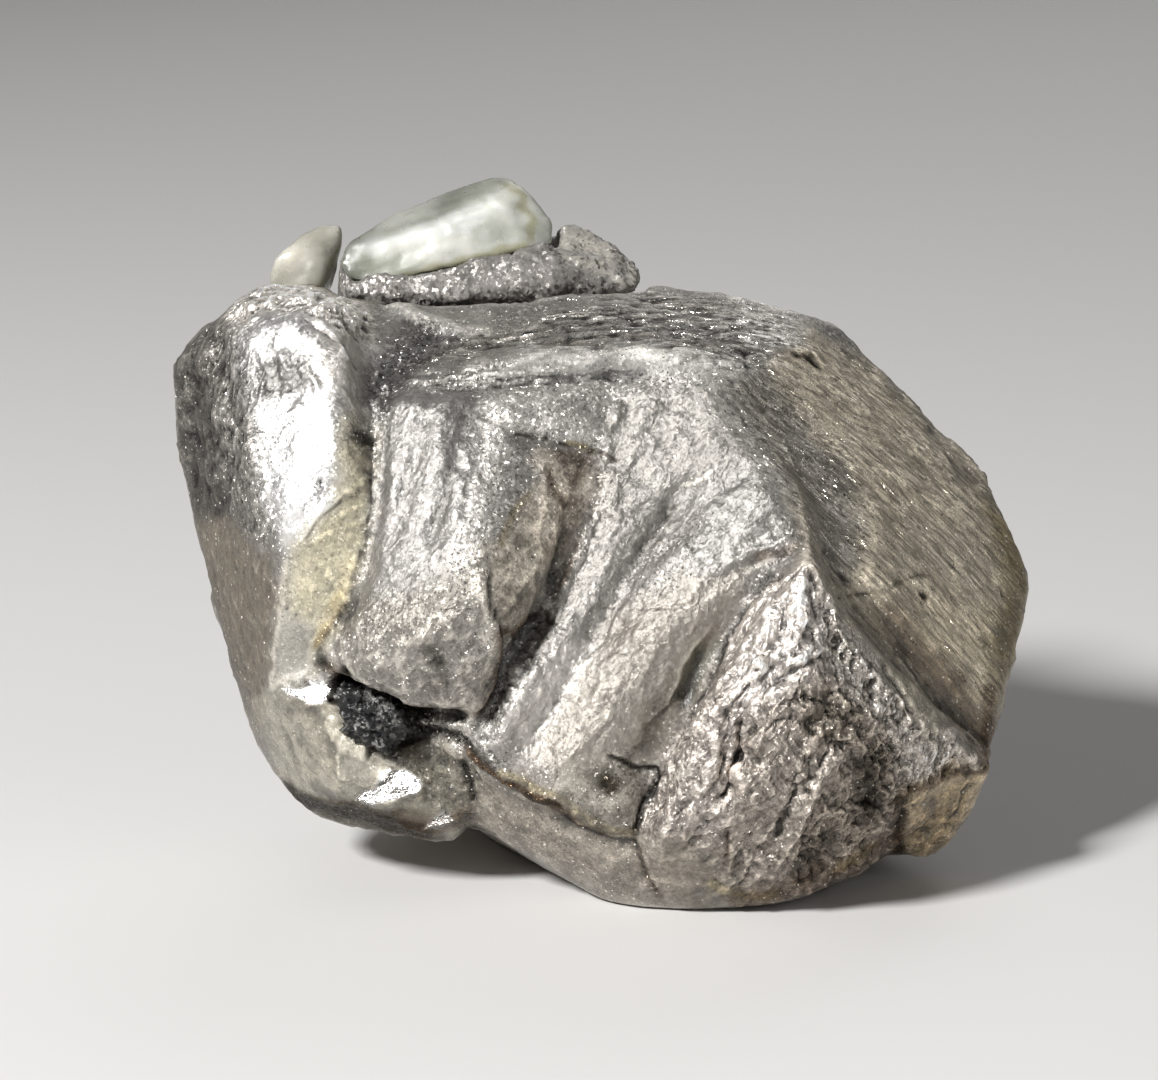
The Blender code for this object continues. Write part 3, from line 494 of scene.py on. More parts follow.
        ("round", -0.12, 0.5, [(14.06, 4.61), (14.86, 3.61), (16.06, 2.0)]),
        ("round", 0.14, 0.5, [(14.86, 4.01), (15.86, 3.2), (16.46, 2.2)]),
    ],
    "top": [
        ("round", 0.08, 0.3, [(-7.49, 9.61), (-6.17, 8.97), (-4.77, 8.49), (-3.48, 8.33)]),
        ("round", -0.08, 0.35, [(-7.17, 8.89), (-5.97, 8.29), (-4.37, 7.93)]),
        ("lip", 0.06, 0.4, [(-2.96, 6.89), (-0.76, 7.65), (0.84, 7.45), (2.44, 7.65), (4.05, 7.69),
            (5.25, 7.29), (6.65, 6.89)]),
        ("sharp", 0.08, 0.12, [(3.77, 7.49), (3.97, 7.69), (4.29, 7.61), (4.33, 7.37), (4.01, 7.29),
            (3.77, 7.49)]),
        ("sharp", -0.10, 0.2, [(6.65, 7.61), (6.77, 6.73)]),
        ("sharp", 0.08, 0.15, [(-2.36, 9.61), (0.04, 9.77), (2.44, 9.69)]),
        ("round", -0.12, 0.4, [(-0.76, 8.21), (2.44, 8.61), (5.65, 8.21)]),
        ("sharp", -0.08, 0.2, [(4.45, 8.61), (5.45, 8.41), (6.25, 8.49)]),
    ],
}

pyramidApex = (9.05, -0.64)
clusterPlates = [      # rise and outline
    (0.16, [(6.85, -3.52), (7.85, -2.4), (8.13, -2.8), (7.97, -4.01), (7.45, -4.41), (6.93, -4.21)]),
    (0.18, [(8.29, -2.48), (8.85, -2.0), (9.33, -2.72), (9.17, -3.61), (8.69, -4.09), (8.33, -3.61)]),
    (0.20, [(7.13, -4.61), (7.57, -4.61), (7.69, -5.13), (7.33, -5.69), (6.93, -6.01), (6.77, -5.61),
        (6.85, -5.01)]),
    (0.20, [(7.25, -6.45), (7.57, -5.93), (8.13, -5.57), (8.25, -5.81), (7.73, -6.33), (7.33, -6.73)]),
    (0.16, [(7.81, -7.05), (7.93, -6.61), (8.45, -6.45), (9.01, -6.65), (8.89, -7.01), (8.37, -6.89),
        (8.05, -7.17)]),
    (0.16, [(7.97, -5.09), (8.85, -4.49), (9.85, -4.05), (9.93, -4.41), (9.17, -4.85), (8.25, -5.25)]),
    (0.16, [(6.41, -8.17), (6.77, -7.73), (7.45, -7.57), (7.53, -8.01), (6.85, -8.45), (6.53, -8.49)]),
    (0.20, [(8.81, -8.49), (9.09, -7.93), (9.73, -7.33), (9.93, -7.61), (9.45, -8.25), (9.17, -8.73)]),
    (0.16, [(7.53, -9.17), (7.97, -8.69), (8.49, -8.77), (8.05, -9.25)]),
    (0.20, [(6.21, -9.17), (6.69, -8.97), (6.97, -9.41), (6.81, -10.05), (6.37, -10.25), (6.13, -9.73)]),
    (0.15, [(4.45, -7.29), (4.93, -6.41), (5.49, -6.01), (5.41, -6.89), (4.85, -7.81)]),
    (0.15, [(3.56, -9.21), (4.13, -8.21), (4.61, -8.09), (4.29, -9.01), (3.73, -9.81)]),
    (0.14, [(4.85, -9.21), (5.33, -8.49), (5.73, -8.65), (5.45, -9.61), (5.01, -9.85)]),
]

# Grooves drawn shallower than the solid has them: rounds of smoothing, and the outline
clusterFills = [
    (160, [(1.48, 3.69), (1.24, 2.6), (1.08, 1.4), (0.6, 0.0), (0.12, -1.28), (-0.52, -2.56),
        (-1.24, -2.64), (-1.16, -1.4), (-0.84, 0.0), (-0.52, 1.6), (-0.12, 3.0), (0.6, 3.77)]),
    (25, [(-7.77, -6.89), (-6.97, -6.73), (-5.57, -6.97), (-4.37, -7.69), (-3.73, -6.61),
        (-3.08, -5.13), (-2.36, -3.69), (-1.16, -2.8), (-0.92, -3.04), (-1.56, -4.21), (-2.36, -6.01),
        (-3.48, -7.81), (-2.36, -10.09), (-3.16, -9.81), (-5.37, -8.33), (-7.37, -7.61)]),
]

# Flats that catch the light: how flat they get, how soft their edge is, and the outline
lightTurn = (-0.30, -0.85, 0.43)
litFacets = ("facetUpper", "facetLower", "facetFoot")
clusterFlats = [(0.5, 0.08, clusterRegions[name]) for name in litFacets] + [
    (0.45, 1.0, [(-13.34, 8.41), (-11.18, 8.73), (-10.17, 6.41), (-9.49, 2.8), (-10.17, 1.0),
        (-11.58, 0.4), (-12.7, 2.0), (-13.18, 5.61)]),
    (0.35, 0.4, [(6.85, -2.6), (8.85, -1.28), (9.33, -2.8), (9.17, -4.01), (7.65, -4.61),
        (6.65, -4.41)]),
]

# Colour, metal, glass, grain, streaks, gloss and mica of each region, laid over one another in this order
finishMasks = ("metal", "glass", "grain", "streaks", "gloss", "mica")
plainFinish = (0.36, 0.345, 0.325, 0.8, 0.0, 0.35, 0.3, 0.0, 0.0)
backFinish = (0.36, 0.34, 0.315, 1.0, -0.3, 0.9, 0.4, 0.0, 0.0)
backBrown = (0.27, 0.235, 0.185, 0.9, -0.3, 0.7, 0.6, 0.0, 0.0)
clusterFinish = {
    # Partly its own dark brown, partly painted shade of the side turned from the key lamp
    "leftSide": ((0.095, 0.088, 0.079), 0.6, 0.0, 0.8, 0.3, 0.0, 0.0),
    "leftShoulder": ((0.30, 0.285, 0.265), 0.8, 0.0, 0.9, 0.2, 0.0, 0.0),
    "leftTop": ((0.66, 0.65, 0.64), 0.9, 0.0, 0.5, 0.1, 0.3, 0.0),
    "leftCrest": ((0.92, 0.87, 0.80), 0.85, 0.0, 1.0, 0.1, 0.1, 0.0),
    # The left crystal's main highlight as near-white glossy metal: a painted highlight
    "leftBulge": ((0.92, 0.91, 0.90), 0.95, 0.0, 0.1, 0.0, 1.0, 0.0),
    "leftWrinkle": ((0.25, 0.24, 0.23), 0.9, 0.0, 0.9, 0.1, 0.1, 0.0),
    "leftGrey": ((0.78, 0.745, 0.7), 0.8, 0.0, 0.4, 0.4, 0.0, 0.0),
    "leftOlive": ((0.64, 0.585, 0.42), 0.0, 0.55, 0.1, 0.2, 0.0, 0.0),
    "leftLow": ((0.132, 0.112, 0.084), 0.3, 0.3, 0.3, 0.9, 0.0, 0.0),
    "leftFacet": ((0.41, 0.39, 0.345), 0.1, 0.5, 0.05, 0.1, 0.0, 0.0),
    "knob": ((0.47, 0.435, 0.35), 0.1, 0.6, 0.1, 0.1, 0.0, 0.0),
    "middleStriped": ((0.385, 0.37, 0.355), 0.9, 0.0, 0.9, 0.3, 0.0, 0.0),
    "middlePlate": ((0.67, 0.645, 0.61), 0.8, 0.0, 0.6, 0.3, 0.0, 0.0),
    "window": ((0.65, 0.58, 0.485), 0.35, 0.35, 0.6, 0.3, 0.0, 0.0),
    "plate": ((0.475, 0.43, 0.355), 0.25, 0.4, 0.5, 0.1, 0.0, 0.0),
    "bulge": ((0.33, 0.31, 0.28), 0.7, 0.0, 0.9, 0.2, 0.0, 0.0),
    "slabA": ((0.325, 0.31, 0.29), 0.85, 0.0, 1.0, 0.2, 0.0, 0.0),
    "slabB": ((0.375, 0.35, 0.315), 0.8, 0.0, 1.0, 0.2, 0.0, 0.0),
    "slabFoot": ((0.63, 0.6, 0.565), 0.9, 0.0, 1.0, 0.2, 0.0, 0.0),
    "patch": ((0.32, 0.31, 0.295), 0.9, 0.0, 1.0, 0.1, 0.1, 0.0),
    "glitter": ((0.34, 0.32, 0.295), 0.75, 0.0, 0.9, 0.2, 0.2, 0.2),
    "ridgeStrip": ((0.33, 0.315, 0.29), 0.6, 0.0, 0.1, 0.7, 0.0, 0.0),
    "oliveGap": ((0.15, 0.135, 0.09), 0.0, 0.7, 0.1, 0.1, 0.0, 0.0),
    "darkFoot": ((0.24, 0.215, 0.18), 0.2, 0.5, 0.3, 0.2, 0.0, 0.0),
    "lilacFoot": ((0.32, 0.30, 0.28), 0.6, 0.1, 0.3, 0.3, 0.0, 0.0),
    "band": ((0.34, 0.30, 0.25), 0.15, 0.5, 0.2, 0.2, 0.0, 0.0),
    "paleFacet": ((0.4, 0.37, 0.32), 0.2, 0.4, 0.2, 0.1, 0.0, 0.0),
    "pyramid": ((0.40, 0.36, 0.32), 0.9, 0.0, 1.0, 0.6, 0.0, 0.0),
    "pyramidLeft": ((0.465, 0.425, 0.39), 0.9, 0.0, 1.0, 0.3, 0.0, 0.0),
    "pyramidRight": ((0.67, 0.625, 0.57), 0.85, 0.0, 1.0, 0.2, 0.0, 0.0),
    "pyramidTop": ((0.66, 0.615, 0.575), 0.9, 0.0, 1.0, 0.2, 0.25, 0.0),
    # The pyramid's side turned from the key lamp, made darker: painted shade
    "pyramidDark": ((0.345, 0.302, 0.252), 0.65, 0.1, 1.0, 0.3, 0.0, 0.0),
    "footFacet": ((0.32, 0.28, 0.23), 0.1, 0.4, 0.2, 0.2, 0.0, 0.0),
    "rightFace": ((0.55, 0.49, 0.385), 0.4, 0.1, 0.4, 0.9, 0.0, 0.0),
    "rightDark": ((0.44, 0.41, 0.36), 0.65, 0.0, 0.6, 0.9, 0.0, 0.0),
    "rightBrown": ((0.22, 0.175, 0.12), 0.2, 0.1, 0.2, 1.0, 0.0, 0.0),
    "rightWarm": ((0.78, 0.68, 0.52), 0.4, 0.0, 0.3, 1.0, 0.0, 0.0),
    "rightRim": ((0.22, 0.18, 0.10), 0.0, 0.35, 0.1, 0.6, 0.0, 0.0),
    "paleRim": ((0.25, 0.222, 0.18), 0.1, 0.2, 0.1, 0.6, 0.0, 0.0),
    "flatBand": ((0.45, 0.405, 0.32), 0.1, 0.5, 0.1, 0.2, 0.0, 0.0),
    "tab": ((0.62, 0.47, 0.28), 0.0, 0.5, 0.1, 0.2, 0.0, 0.0),
    "top": ((0.45, 0.425, 0.39), 0.8, 0.0, 0.7, 1.0, 0.0, 0.0),
    "topDark": ((0.375, 0.36, 0.335), 0.8, 0.0, 0.6, 1.0, 0.0, 0.0),
    "topBright": ((0.74, 0.71, 0.665), 0.9, 0.0, 0.8, 1.0, 0.0, 0.0),
    "paleStrip": ((0.38, 0.37, 0.35), 0.3, 0.4, 0.1, 0.3, 0.0, 0.0),
    "topGlass": ((0.197, 0.188, 0.17), 0.1, 0.7, 0.1, 0.2, 0.0, 0.0),
    "flank": ((0.27, 0.245, 0.19), 0.1, 0.5, 0.1, 0.2, 0.0, 0.0),
    "facetPale": ((0.50, 0.47, 0.39), 0.1, 0.6, 0.3, 0.0, 0.0, 0.0),
    # Three small facets of near-white metal: painted highlights, their normals also leaned to catch the key
    # lamp
    "facetUpper": ((0.92, 0.91, 0.89), 0.95, 0.0, 0.3, 0.0, 1.0, 0.0),
    "facetLower": ((0.92, 0.91, 0.89), 0.95, 0.0, 0.3, 0.0, 1.0, 0.0),
    "facetFoot": ((0.92, 0.90, 0.87), 0.9, 0.0, 0.5, 0.0, 0.8, 0.0),
    "micaPatch": ((0.105, 0.1, 0.095), 0.6, 0.0, 0.4, 0.0, 0.4, 1.0),
    "micaFlake": ((0.26, 0.245, 0.22), 0.6, 0.0, 0.4, 0.0, 0.4, 1.0),
    "seam": ((0.38, 0.365, 0.34), 0.6, 0.0, 0.4, 0.0, 0.4, 1.0),
}

# How much each part has of the other masks
clusterMasks = {
    "lively": {
        "top": 1.0, "rightFace": 0.6, "rightWarm": 0.4, "rightDark": 0.9, "ridgeStrip": 0.4, "band": 0.8,
        "flank": 0.8, "seam": 0.8, "paleFacet": 0.6, "tab": 0.8, "flatBand": 0.6, "micaFlake": 0.8,
        "leftShoulder": 0.5, "micaPatch": 0.8, "pyramidRight": 0.6, "pyramidDark": 0.5,
    },
    "rough": {"openPyramid": 1.0, "upperSide": 0.7, "leftCrest": 1.6, "tab": 1.3, "bulge": 0.3},
    "facet": dict.fromkeys(litFacets, 1.0),
    "smoke": {"smoky": 1.0, "leftOlive": 0.25, "facetPale": 0.25},
    "steep": {"middleStriped": 1.0, "middlePlate": 1.0, "bulge": 1.0, "leftLow": 1.0},
    "level": {"top": 1.0, "topDark": 1.0, "topBright": 1.0},
}
brightRegions = ("leftTop", "leftBulge", "middleStriped", "slabA", "slabB", "patch", "pyramidTop")
smokyRegions = ("knob", "band", "tab", "flank", "footFacet", "paleFacet", "darkFoot", "window", "plate")

# Thin stains along edges and cracks, and a band of painted shade under the knob: colour, strength, reach and
# line
umber = (0.09, 0.055, 0.03)
honey = (0.38, 0.31, 0.16)
# Dark brown of the stains, and of the painted shade under the knob
sootAndShadeBrown = (0.04, 0.033, 0.027)
lint = (0.80, 0.77, 0.70)
clusterStains = [
    (umber, 0.8, 0.28, [(-3.28, -3.69), (-3.24, -4.81), (-3.56, -6.01), (-3.97, -6.89)]),
    (umber, 0.8, 0.22, [(-3.16, -3.61), (-2.56, -3.77), (-2.08, -3.12), (-1.36, -2.88)]),
    (umber, 0.6, 0.12, plateCrack),
    (honey, 0.8, 0.16, [(-0.52, 3.97), (0.04, 3.81), (0.52, 3.65)]),
    (honey, 0.5, 0.2, [(-3.16, -0.2), (-2.56, 1.2), (-1.96, 1.8)]),
    (umber, 0.6, 0.3, [(-1.24, 2.8), (-0.92, 2.08), (-0.68, 1.4)]),
    (umber, 0.5, 0.5, [(-0.76, 3.36), (0.24, 3.12), (-0.16, 2.4)]),
    (sootAndShadeBrown, 0.45, 0.5, [(-0.16, 1.6), (-0.36, 0.4), (-0.76, -0.32)]),
    (umber, 0.7, 0.18, [(-0.28, -0.2), (-0.52, -1.6), (-1.08, -2.4)]),
    (sootAndShadeBrown, 0.35, 0.7, [(-6.05, -4.33), (-5.57, -5.13), (-5.73, -5.77)]),
    (umber, 0.4, 0.4, [(-6.05, -6.89), (-5.73, -7.13)]),
    (sootAndShadeBrown, 0.3, 0.6, [(-0.28, 5.41), (0.84, 5.01), (1.08, 4.49)]),
    (sootAndShadeBrown, 0.4, 0.35, [(-5.17, 2.8), (-5.41, 1.6), (-5.73, 0.8)]),
    (umber, 0.7, 0.3, [(-10.29, -4.97), (-9.77, -5.29), (-9.17, -6.01)]),
    (sootAndShadeBrown, 0.8, 0.2, [(-9.49, -5.05), (-9.17, -5.69), (-8.85, -6.17)]),
    (umber, 0.7, 0.25, [(-10.45, -4.21), (-9.89, -3.4), (-9.37, -2.56)]),
    (sootAndShadeBrown, 0.95, 0.42, [(-9.01, 4.25), (-8.41, 3.89)]),
    (sootAndShadeBrown, 0.8, 0.34, [(-7.65, -7.09), (-6.17, -7.53), (-4.69, -8.09), (-3.56, -9.21)]),
    (sootAndShadeBrown, 0.7, 0.22, [(-4.69, -8.89), (-4.45, -9.69), (-4.29, -10.41)]),
    (sootAndShadeBrown, 0.8, 0.2, [(-9.45, -5.13), (-9.09, -6.01), (-8.61, -6.65)]),
    (honey, 0.6, 0.3, [(-9.57, -2.08), (-10.05, -3.2), (-10.45, -4.09)]),
    (honey, 0.4, 0.5, [(-9.09, -1.0), (-9.65, -2.6)]),
    (umber, 0.6, 0.3, [(-10.78, -10.45), (-9.17, -10.65), (-7.57, -11.3)]),
    (sootAndShadeBrown, 0.5, 0.4, [(-10.17, -11.02), (-7.97, -11.38), (-5.57, -11.94)]),
    (honey, 0.6, 0.24, [(-3.16, -9.29), (-1.96, -9.89), (-0.92, -10.33), (0.12, -10.98), (1.0, -11.54),
        (2.12, -11.7)]),
    (umber, 1.0, 0.22, [(-4.45, -8.49), (-3.16, -9.57), (-2.04, -10.13), (-1.2, -10.57), (0.12, -11.3),
        (1.0, -11.74)]),
    (sootAndShadeBrown, 1.0, 0.13, [(-2.04, -10.13), (-1.72, -10.41), (-1.08, -10.65)]),
    (sootAndShadeBrown, 1.0, 0.13, [(0.28, -11.38), (0.8, -11.7)]),
    (sootAndShadeBrown, 0.6, 0.16, [(-4.45, -9.45), (-4.21, -10.45)]),
    # Band along the knob's underside: painted shade
    (sootAndShadeBrown, 1.0, 0.6, [(-11.82, -10.01), (-10.74, -10.57), (-9.09, -10.9), (-7.49, -11.34),
        (-6.17, -11.78)]),
    (umber, 0.7, 0.35, [(12.82, -10.41), (12.94, -11.38), (12.86, -12.26)]),
    (lint, 0.7, 0.11, [(7.25, 4.21), (7.97, 3.93), (8.45, 3.56), (8.61, 3.0)]),
    (lint, 0.7, 0.11, [(4.05, 2.12), (4.85, 2.4), (5.45, 2.88)]),
    (umber, 0.6, 0.6, [(-7.17, -11.02), (-5.57, -11.42), (-4.45, -11.02)]),
    (umber, 0.9, 0.4, [(-10.45, -11.46), (-8.77, -11.78), (-7.17, -12.02), (-5.57, -12.22)]),
    (sootAndShadeBrown, 0.8, 0.2, chipRim),
    (umber, 0.5, 0.25, footCrack),
    (sootAndShadeBrown, 0.7, 0.3, tabSeam),
    (umber, 0.7, 0.3, [(12.86, -10.41), (14.46, -9.45), (16.26, -9.21)]),
    (umber, 0.6, 0.35, [(7.25, -0.64), (8.05, -0.48), (8.53, -0.32)]),
    (umber, 0.7, 0.5, [(16.46, -6.01), (16.46, -7.41), (16.3, -8.81)]),
    (sootAndShadeBrown, 0.6, 0.2, [(6.53, -7.29), (6.37, -8.61), (6.09, -9.61), (5.73, -10.41)]),
    (umber, 0.5, 0.2, [(5.93, -11.62), (6.01, -12.74)]),
    (sootAndShadeBrown, 0.75, 0.9, [(11.34, -9.01), (11.66, -9.81), (11.34, -11.02)]),
    (sootAndShadeBrown, 0.7, 0.8, [(9.97, -11.94), (9.33, -12.74), (8.85, -13.22)]),
    (sootAndShadeBrown, 0.5, 0.7, [(9.45, -6.41), (10.37, -7.29)]),
    (honey, 0.6, 0.35, [(5.33, -13.78), (6.53, -14.26), (7.85, -14.14)]),
    (honey, 0.6, 0.3, [(10.25, -13.22), (10.94, -12.94), (11.9, -12.26)]),
    (sootAndShadeBrown, 0.6, 0.5, [(12.78, -10.41), (12.7, -11.42), (12.86, -12.26)]),
    (umber, 0.6, 0.8, [(6.45, -14.42), (8.45, -13.94), (10.86, -13.14), (12.38, -12.1)]),
    (sootAndShadeBrown, 1.0, 0.62, footPit),
    (umber, 0.25, 0.15, faceCrack),
    (sootAndShadeBrown, 0.7, 0.14, [(8.65, 7.49), (9.33, 7.29), (9.73, 6.81)]),
    (sootAndShadeBrown, 0.7, 0.16, [(13.7, -2.12), (13.98, -2.32)]),
    (sootAndShadeBrown, 0.7, 0.14, [(-10.33, 2.4), (-10.25, 2.12)]),
    (umber, 0.4, 0.3, [(-1.36, 7.81), (2.44, 8.21), (5.65, 7.81)]),
    (sootAndShadeBrown, 0.5, 0.25, [(3.73, 1.36), (3.04, 0.4), (2.44, -0.48)]),
]

# Relief of each part: kind, rise, size, shift of its noise, what draws it out, and the tilt of flakes
clusterRelief = {
    "everywhere": [
        (lumps, 0.05, 1.8, 3.0, None),
        (lumps, 0.03, 0.6, 11.0, None),
    ],
    "pebbly": [
        (lumps, 0.06, 1.3, 5.0, (slant, 2.0)),
        (lumps, 0.04, 0.6, 25.0, (slant, 2.0)),
        (crumpled, 0.03, 0.7, 15.0, (slant, 2.0)),
        (pebbles, 0.035, 0.42, 9.0, (slant, 1.5)),
    ],
    "striped": [
        (lumps, 0.02, 0.45, 0.0, (down, 5.0)),
        (crumpled, 0.03, 0.55, 4.0, (down, 2.0)),
    ],
    "bulge": [
        (crumpled, 0.05, 0.7, 8.0, None),
        (lumps, 0.08, 1.0, 18.0, None),
    ],
    "rightFace": [
        (lumps, 0.035, 0.40, 0.0, (fall, 8.0)),
        (lumps, 0.09, 1.3, 12.0, (fall, 2.5)),
    ],
    "top": [
        (lumps, 0.09, 0.30, 0.0, (sideways, 5.0)),
        (pebbles, 0.07, 0.3, 0.0, (sideways, 2.0)),
        (crumpled, 0.05, 0.9, 99.0, None),
    ],
    "leftTop": [
        (creases, 0.04, 0.9, 2.0, ((0.4, 0.0, -0.9), 2.0)),
        (creases, 0.02, 0.45, 6.0, None),
    ],
    "leftWrinkle": [(crumpled, 0.06, 0.6, 33.0, ((0.5, 0.0, -0.85), 2.2))],
    "upperSide": [
        (lumps, 0.18, 1.1, 1.0, None),
        (crumpled, 0.08, 0.8, 2.0, None),
    ],
    "leftBulge": [(creases, 0.03, 0.8, 4.0, None)],
    "leftOlive": [
        (lumps, 0.05, 0.5, 9.0, None),
        (creases, 0.03, 0.4, 3.0, None),
    ],
    "panes": [(crumpled, 0.04, 0.9, 37.0, None)],
    "lower": [(crumpled, 0.05, 1.2, 47.0, None)],
    "knob": [(lumps, 0.06, 0.7, 21.0, None)],
    "openPyramid": [
        (lumps, 0.15, 1.3, 13.0, "fan"),
        (crumpled, 0.06, 1.0, 17.0, "fan"),
        (flakes, 0.08, 0.8, 4.0, "fan", 1.2),
        (creases, 0.07, 0.7, 77.0, ((0.35, 0.1, -0.9), 3.0)),
        (pebbles, 0.05, 0.5, 79.0, None),
    ],
    "pyramidFoot": [
        (crumpled, 0.06, 0.9, 27.0, (slant, 2.0)),
        (flakes, 0.08, 0.7, 63.0, (slant, 2.0), 1.2),
    ],
    "pyramidDark": [
        (flakes, 0.22, 0.9, 61.0, None, 1.3),
        (crumpled, 0.10, 0.9, 67.0, None),
    ],
    "pyramidRight": [
        (crumpled, 0.14, 0.8, 91.0, (slant, 2.0)),
        (lumps, 0.10, 0.55, 93.0, None),
    ],
    "tab": [
        (flakes, 0.10, 1.1, 71.0, None, 1.0),
        (crumpled, 0.05, 0.6, 73.0, None),
    ],
    "leftCrest": [
        (crumpled, 0.18, 0.8, 81.0, None),
        (lumps, 0.10, 0.6, 83.0, None),
    ],
    "leftLow": [
        (lumps, 0.05, 0.4, 95.0, ((0.1, 0.0, -1.0), 4.0)),
        (crumpled, 0.04, 0.8, 97.0, None),
    ],
    "leftShoulder": [
        (crumpled, 0.05, 0.5, 85.0, None),
        (lumps, 0.04, 0.4, 87.0, None),
    ],
    "micaFlake": [(flakes, 0.10, 0.3, 89.0, None, 1.5)],
    "micaPatch": [(flakes, 0.14, 0.3, 3.0, None, 1.5)],
    "seam": [(flakes, 0.12, 0.35, 5.0, None, 1.5)],
    "back": [
        (lumps, 0.16, 1.4, 40.0, (slant, 3.0)),
        (flakes, 0.12, 1.3, 41.0, (slant, 2.2), 1.3),
        (lumps, 0.06, 0.45, 43.0, (fall, 5.0)),
    ],
}


def plainCopy(node, name):      # a merged copy of a CAD solid
    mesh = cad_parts[node].data.copy()
    mesh.name = name
    mesh.materials.clear()
    obj = bpy.data.objects.new(name, mesh)
    bpy.context.scene.collection.objects.link(obj)
    bpy.ops.object.select_all(action="DESELECT")
    bpy.context.view_layer.objects.active = obj
    obj.select_set(True)
    bpy.ops.object.mode_set(mode="EDIT")
    bpy.ops.mesh.select_all(action="SELECT")
    bpy.ops.mesh.remove_doubles(threshold=1e-6)
    bpy.ops.object.mode_set(mode="OBJECT")
    return obj


def edgesOf(obj):
    edges = np.empty(len(obj.data.edges) * 2, np.int32)
    obj.data.edges.foreach_get("vertices", edges)
    return edges.reshape(-1, 2)


def aroundMean(values, edges):      # mean of each point's neighbours
    start, end = edges[:, 0], edges[:, 1]
    count = len(values)
    total = np.column_stack([
        np.bincount(start, column[end], count) + np.bincount(end, column[start], count)
        for column in values.T
    ])
    return total / np.maximum(np.bincount(edges.ravel(), minlength=count), 1)[:, None]


def fillIn(obj, share, rounds):      # draws a surface smooth, by a share at each point
    edges = edgesOf(obj)
    points = readPoints(obj)
    for step in range(rounds):
        points += share[:, None] * (aroundMean(points, edges) - points)
    writePoints(obj, points)


def relax(obj, rounds, finest):      # evens a surface out by the same distance on fine and coarse parts
    edges = edgesOf(obj)
    points = readPoints(obj)
    lengths = np.linalg.norm(points[edges[:, 0]] - points[edges[:, 1]], axis=1)
    ends = edges.ravel()
    spacing = np.bincount(ends, np.repeat(lengths, 2)) / np.maximum(np.bincount(ends), 1)
    fillIn(obj, 0.5 * np.clip((finest / spacing) ** 2, 0.0, 1.0), rounds)


def applyModifier(obj, kind, **settings):
    bpy.context.view_layer.objects.active = obj
    modifier = obj.modifiers.new(kind.title(), kind)
    for setting, value in settings.items():
        setattr(modifier, setting, value)
    bpy.ops.object.modifier_apply(modifier=modifier.name)


def readFaces(obj, value):
    flat = np.empty(len(obj.data.polygons) * 3, np.float32)
    obj.data.polygons.foreach_get(value, flat)
    return flat.reshape(-1, 3).astype(float)


def subdivideWhere(obj, wanted):      # splits the faces whose middle is wanted
    bpy.context.view_layer.objects.active = obj
    chosen = wanted(readFaces(obj, "center") / mm, readFaces(obj, "normal"))
    bpy.ops.object.mode_set(mode="EDIT")
    bpy.ops.mesh.select_mode(type="FACE")
    bpy.ops.mesh.select_all(action="DESELECT")
    bpy.ops.object.mode_set(mode="OBJECT")
    obj.data.polygons.foreach_set("select", chosen)
    bpy.ops.object.mode_set(mode="EDIT")
    bpy.ops.mesh.subdivide(number_cuts=1)
    bpy.ops.object.mode_set(mode="OBJECT")


def keepInBox(points):      # on or above the floor, and just inside the box of the solids
    low = np.array(cadLow) / mm + boxMargin
    high = np.array(cadHigh) / mm - boxMargin
    low[2] = 0.0
    return np.clip(points, low, high)


def raiseBy(obj, height):      # moves each point out along its normal
    writePoints(obj, readPoints(obj) + readNormals(obj) * height[:, None])


clusterSettings = {
    "grid": 0.42,                     # first even grid, kept at the back
    "smoothing": 3,
    "frontFrom": 0.05,                # faces turned to the eye by more than this are split once
    "rounding": 16,                   # rounds that soften the edges
    "finest": 0.11,                   # spacing of points up to which a round works in full
    "wander": 0.14,                   # how far drawn lines stray
    "frontEdge": (-0.12, 0.06),       # facing over which the front begins
    "seenEdge": (-0.05, 0.10),        # facing over which the regions begin
    "areaEdge": (-0.25, 0.25),        # depth inside an outline over which its relief begins
    "toneEdge": (-0.7, 0.6),          # the same for its finish
    "facetEdge": (-0.10, 0.10),       # the same for the finish of a facet
    "plateEdge": (-0.06, 0.20),       # the same for a plate
    "fillsBefore": -2.0,              # no groove is filled behind this place along Y
    "fanStretch": 2.2,                # relief of the pyramid, drawn out from its apex
    "plainFoot": 0.8,                 # relief fades out over this height above the resting face
    "hollowRounds": 5,                # how far round a point its hollow is judged
    "hollowDepth": 0.25,              # depth that counts as a full hollow
    "darkStain": 0.1,                 # a stain of no lighter colour also turns metallic
    "stainMetal": 0.85,
}
fineRegions = (      # split once more
    "leftTop", "leftBulge", "knob", "middleStriped", "slabA", "slabB", "patch", "pyramid", "paleFacet",
    "lilacFoot",
)


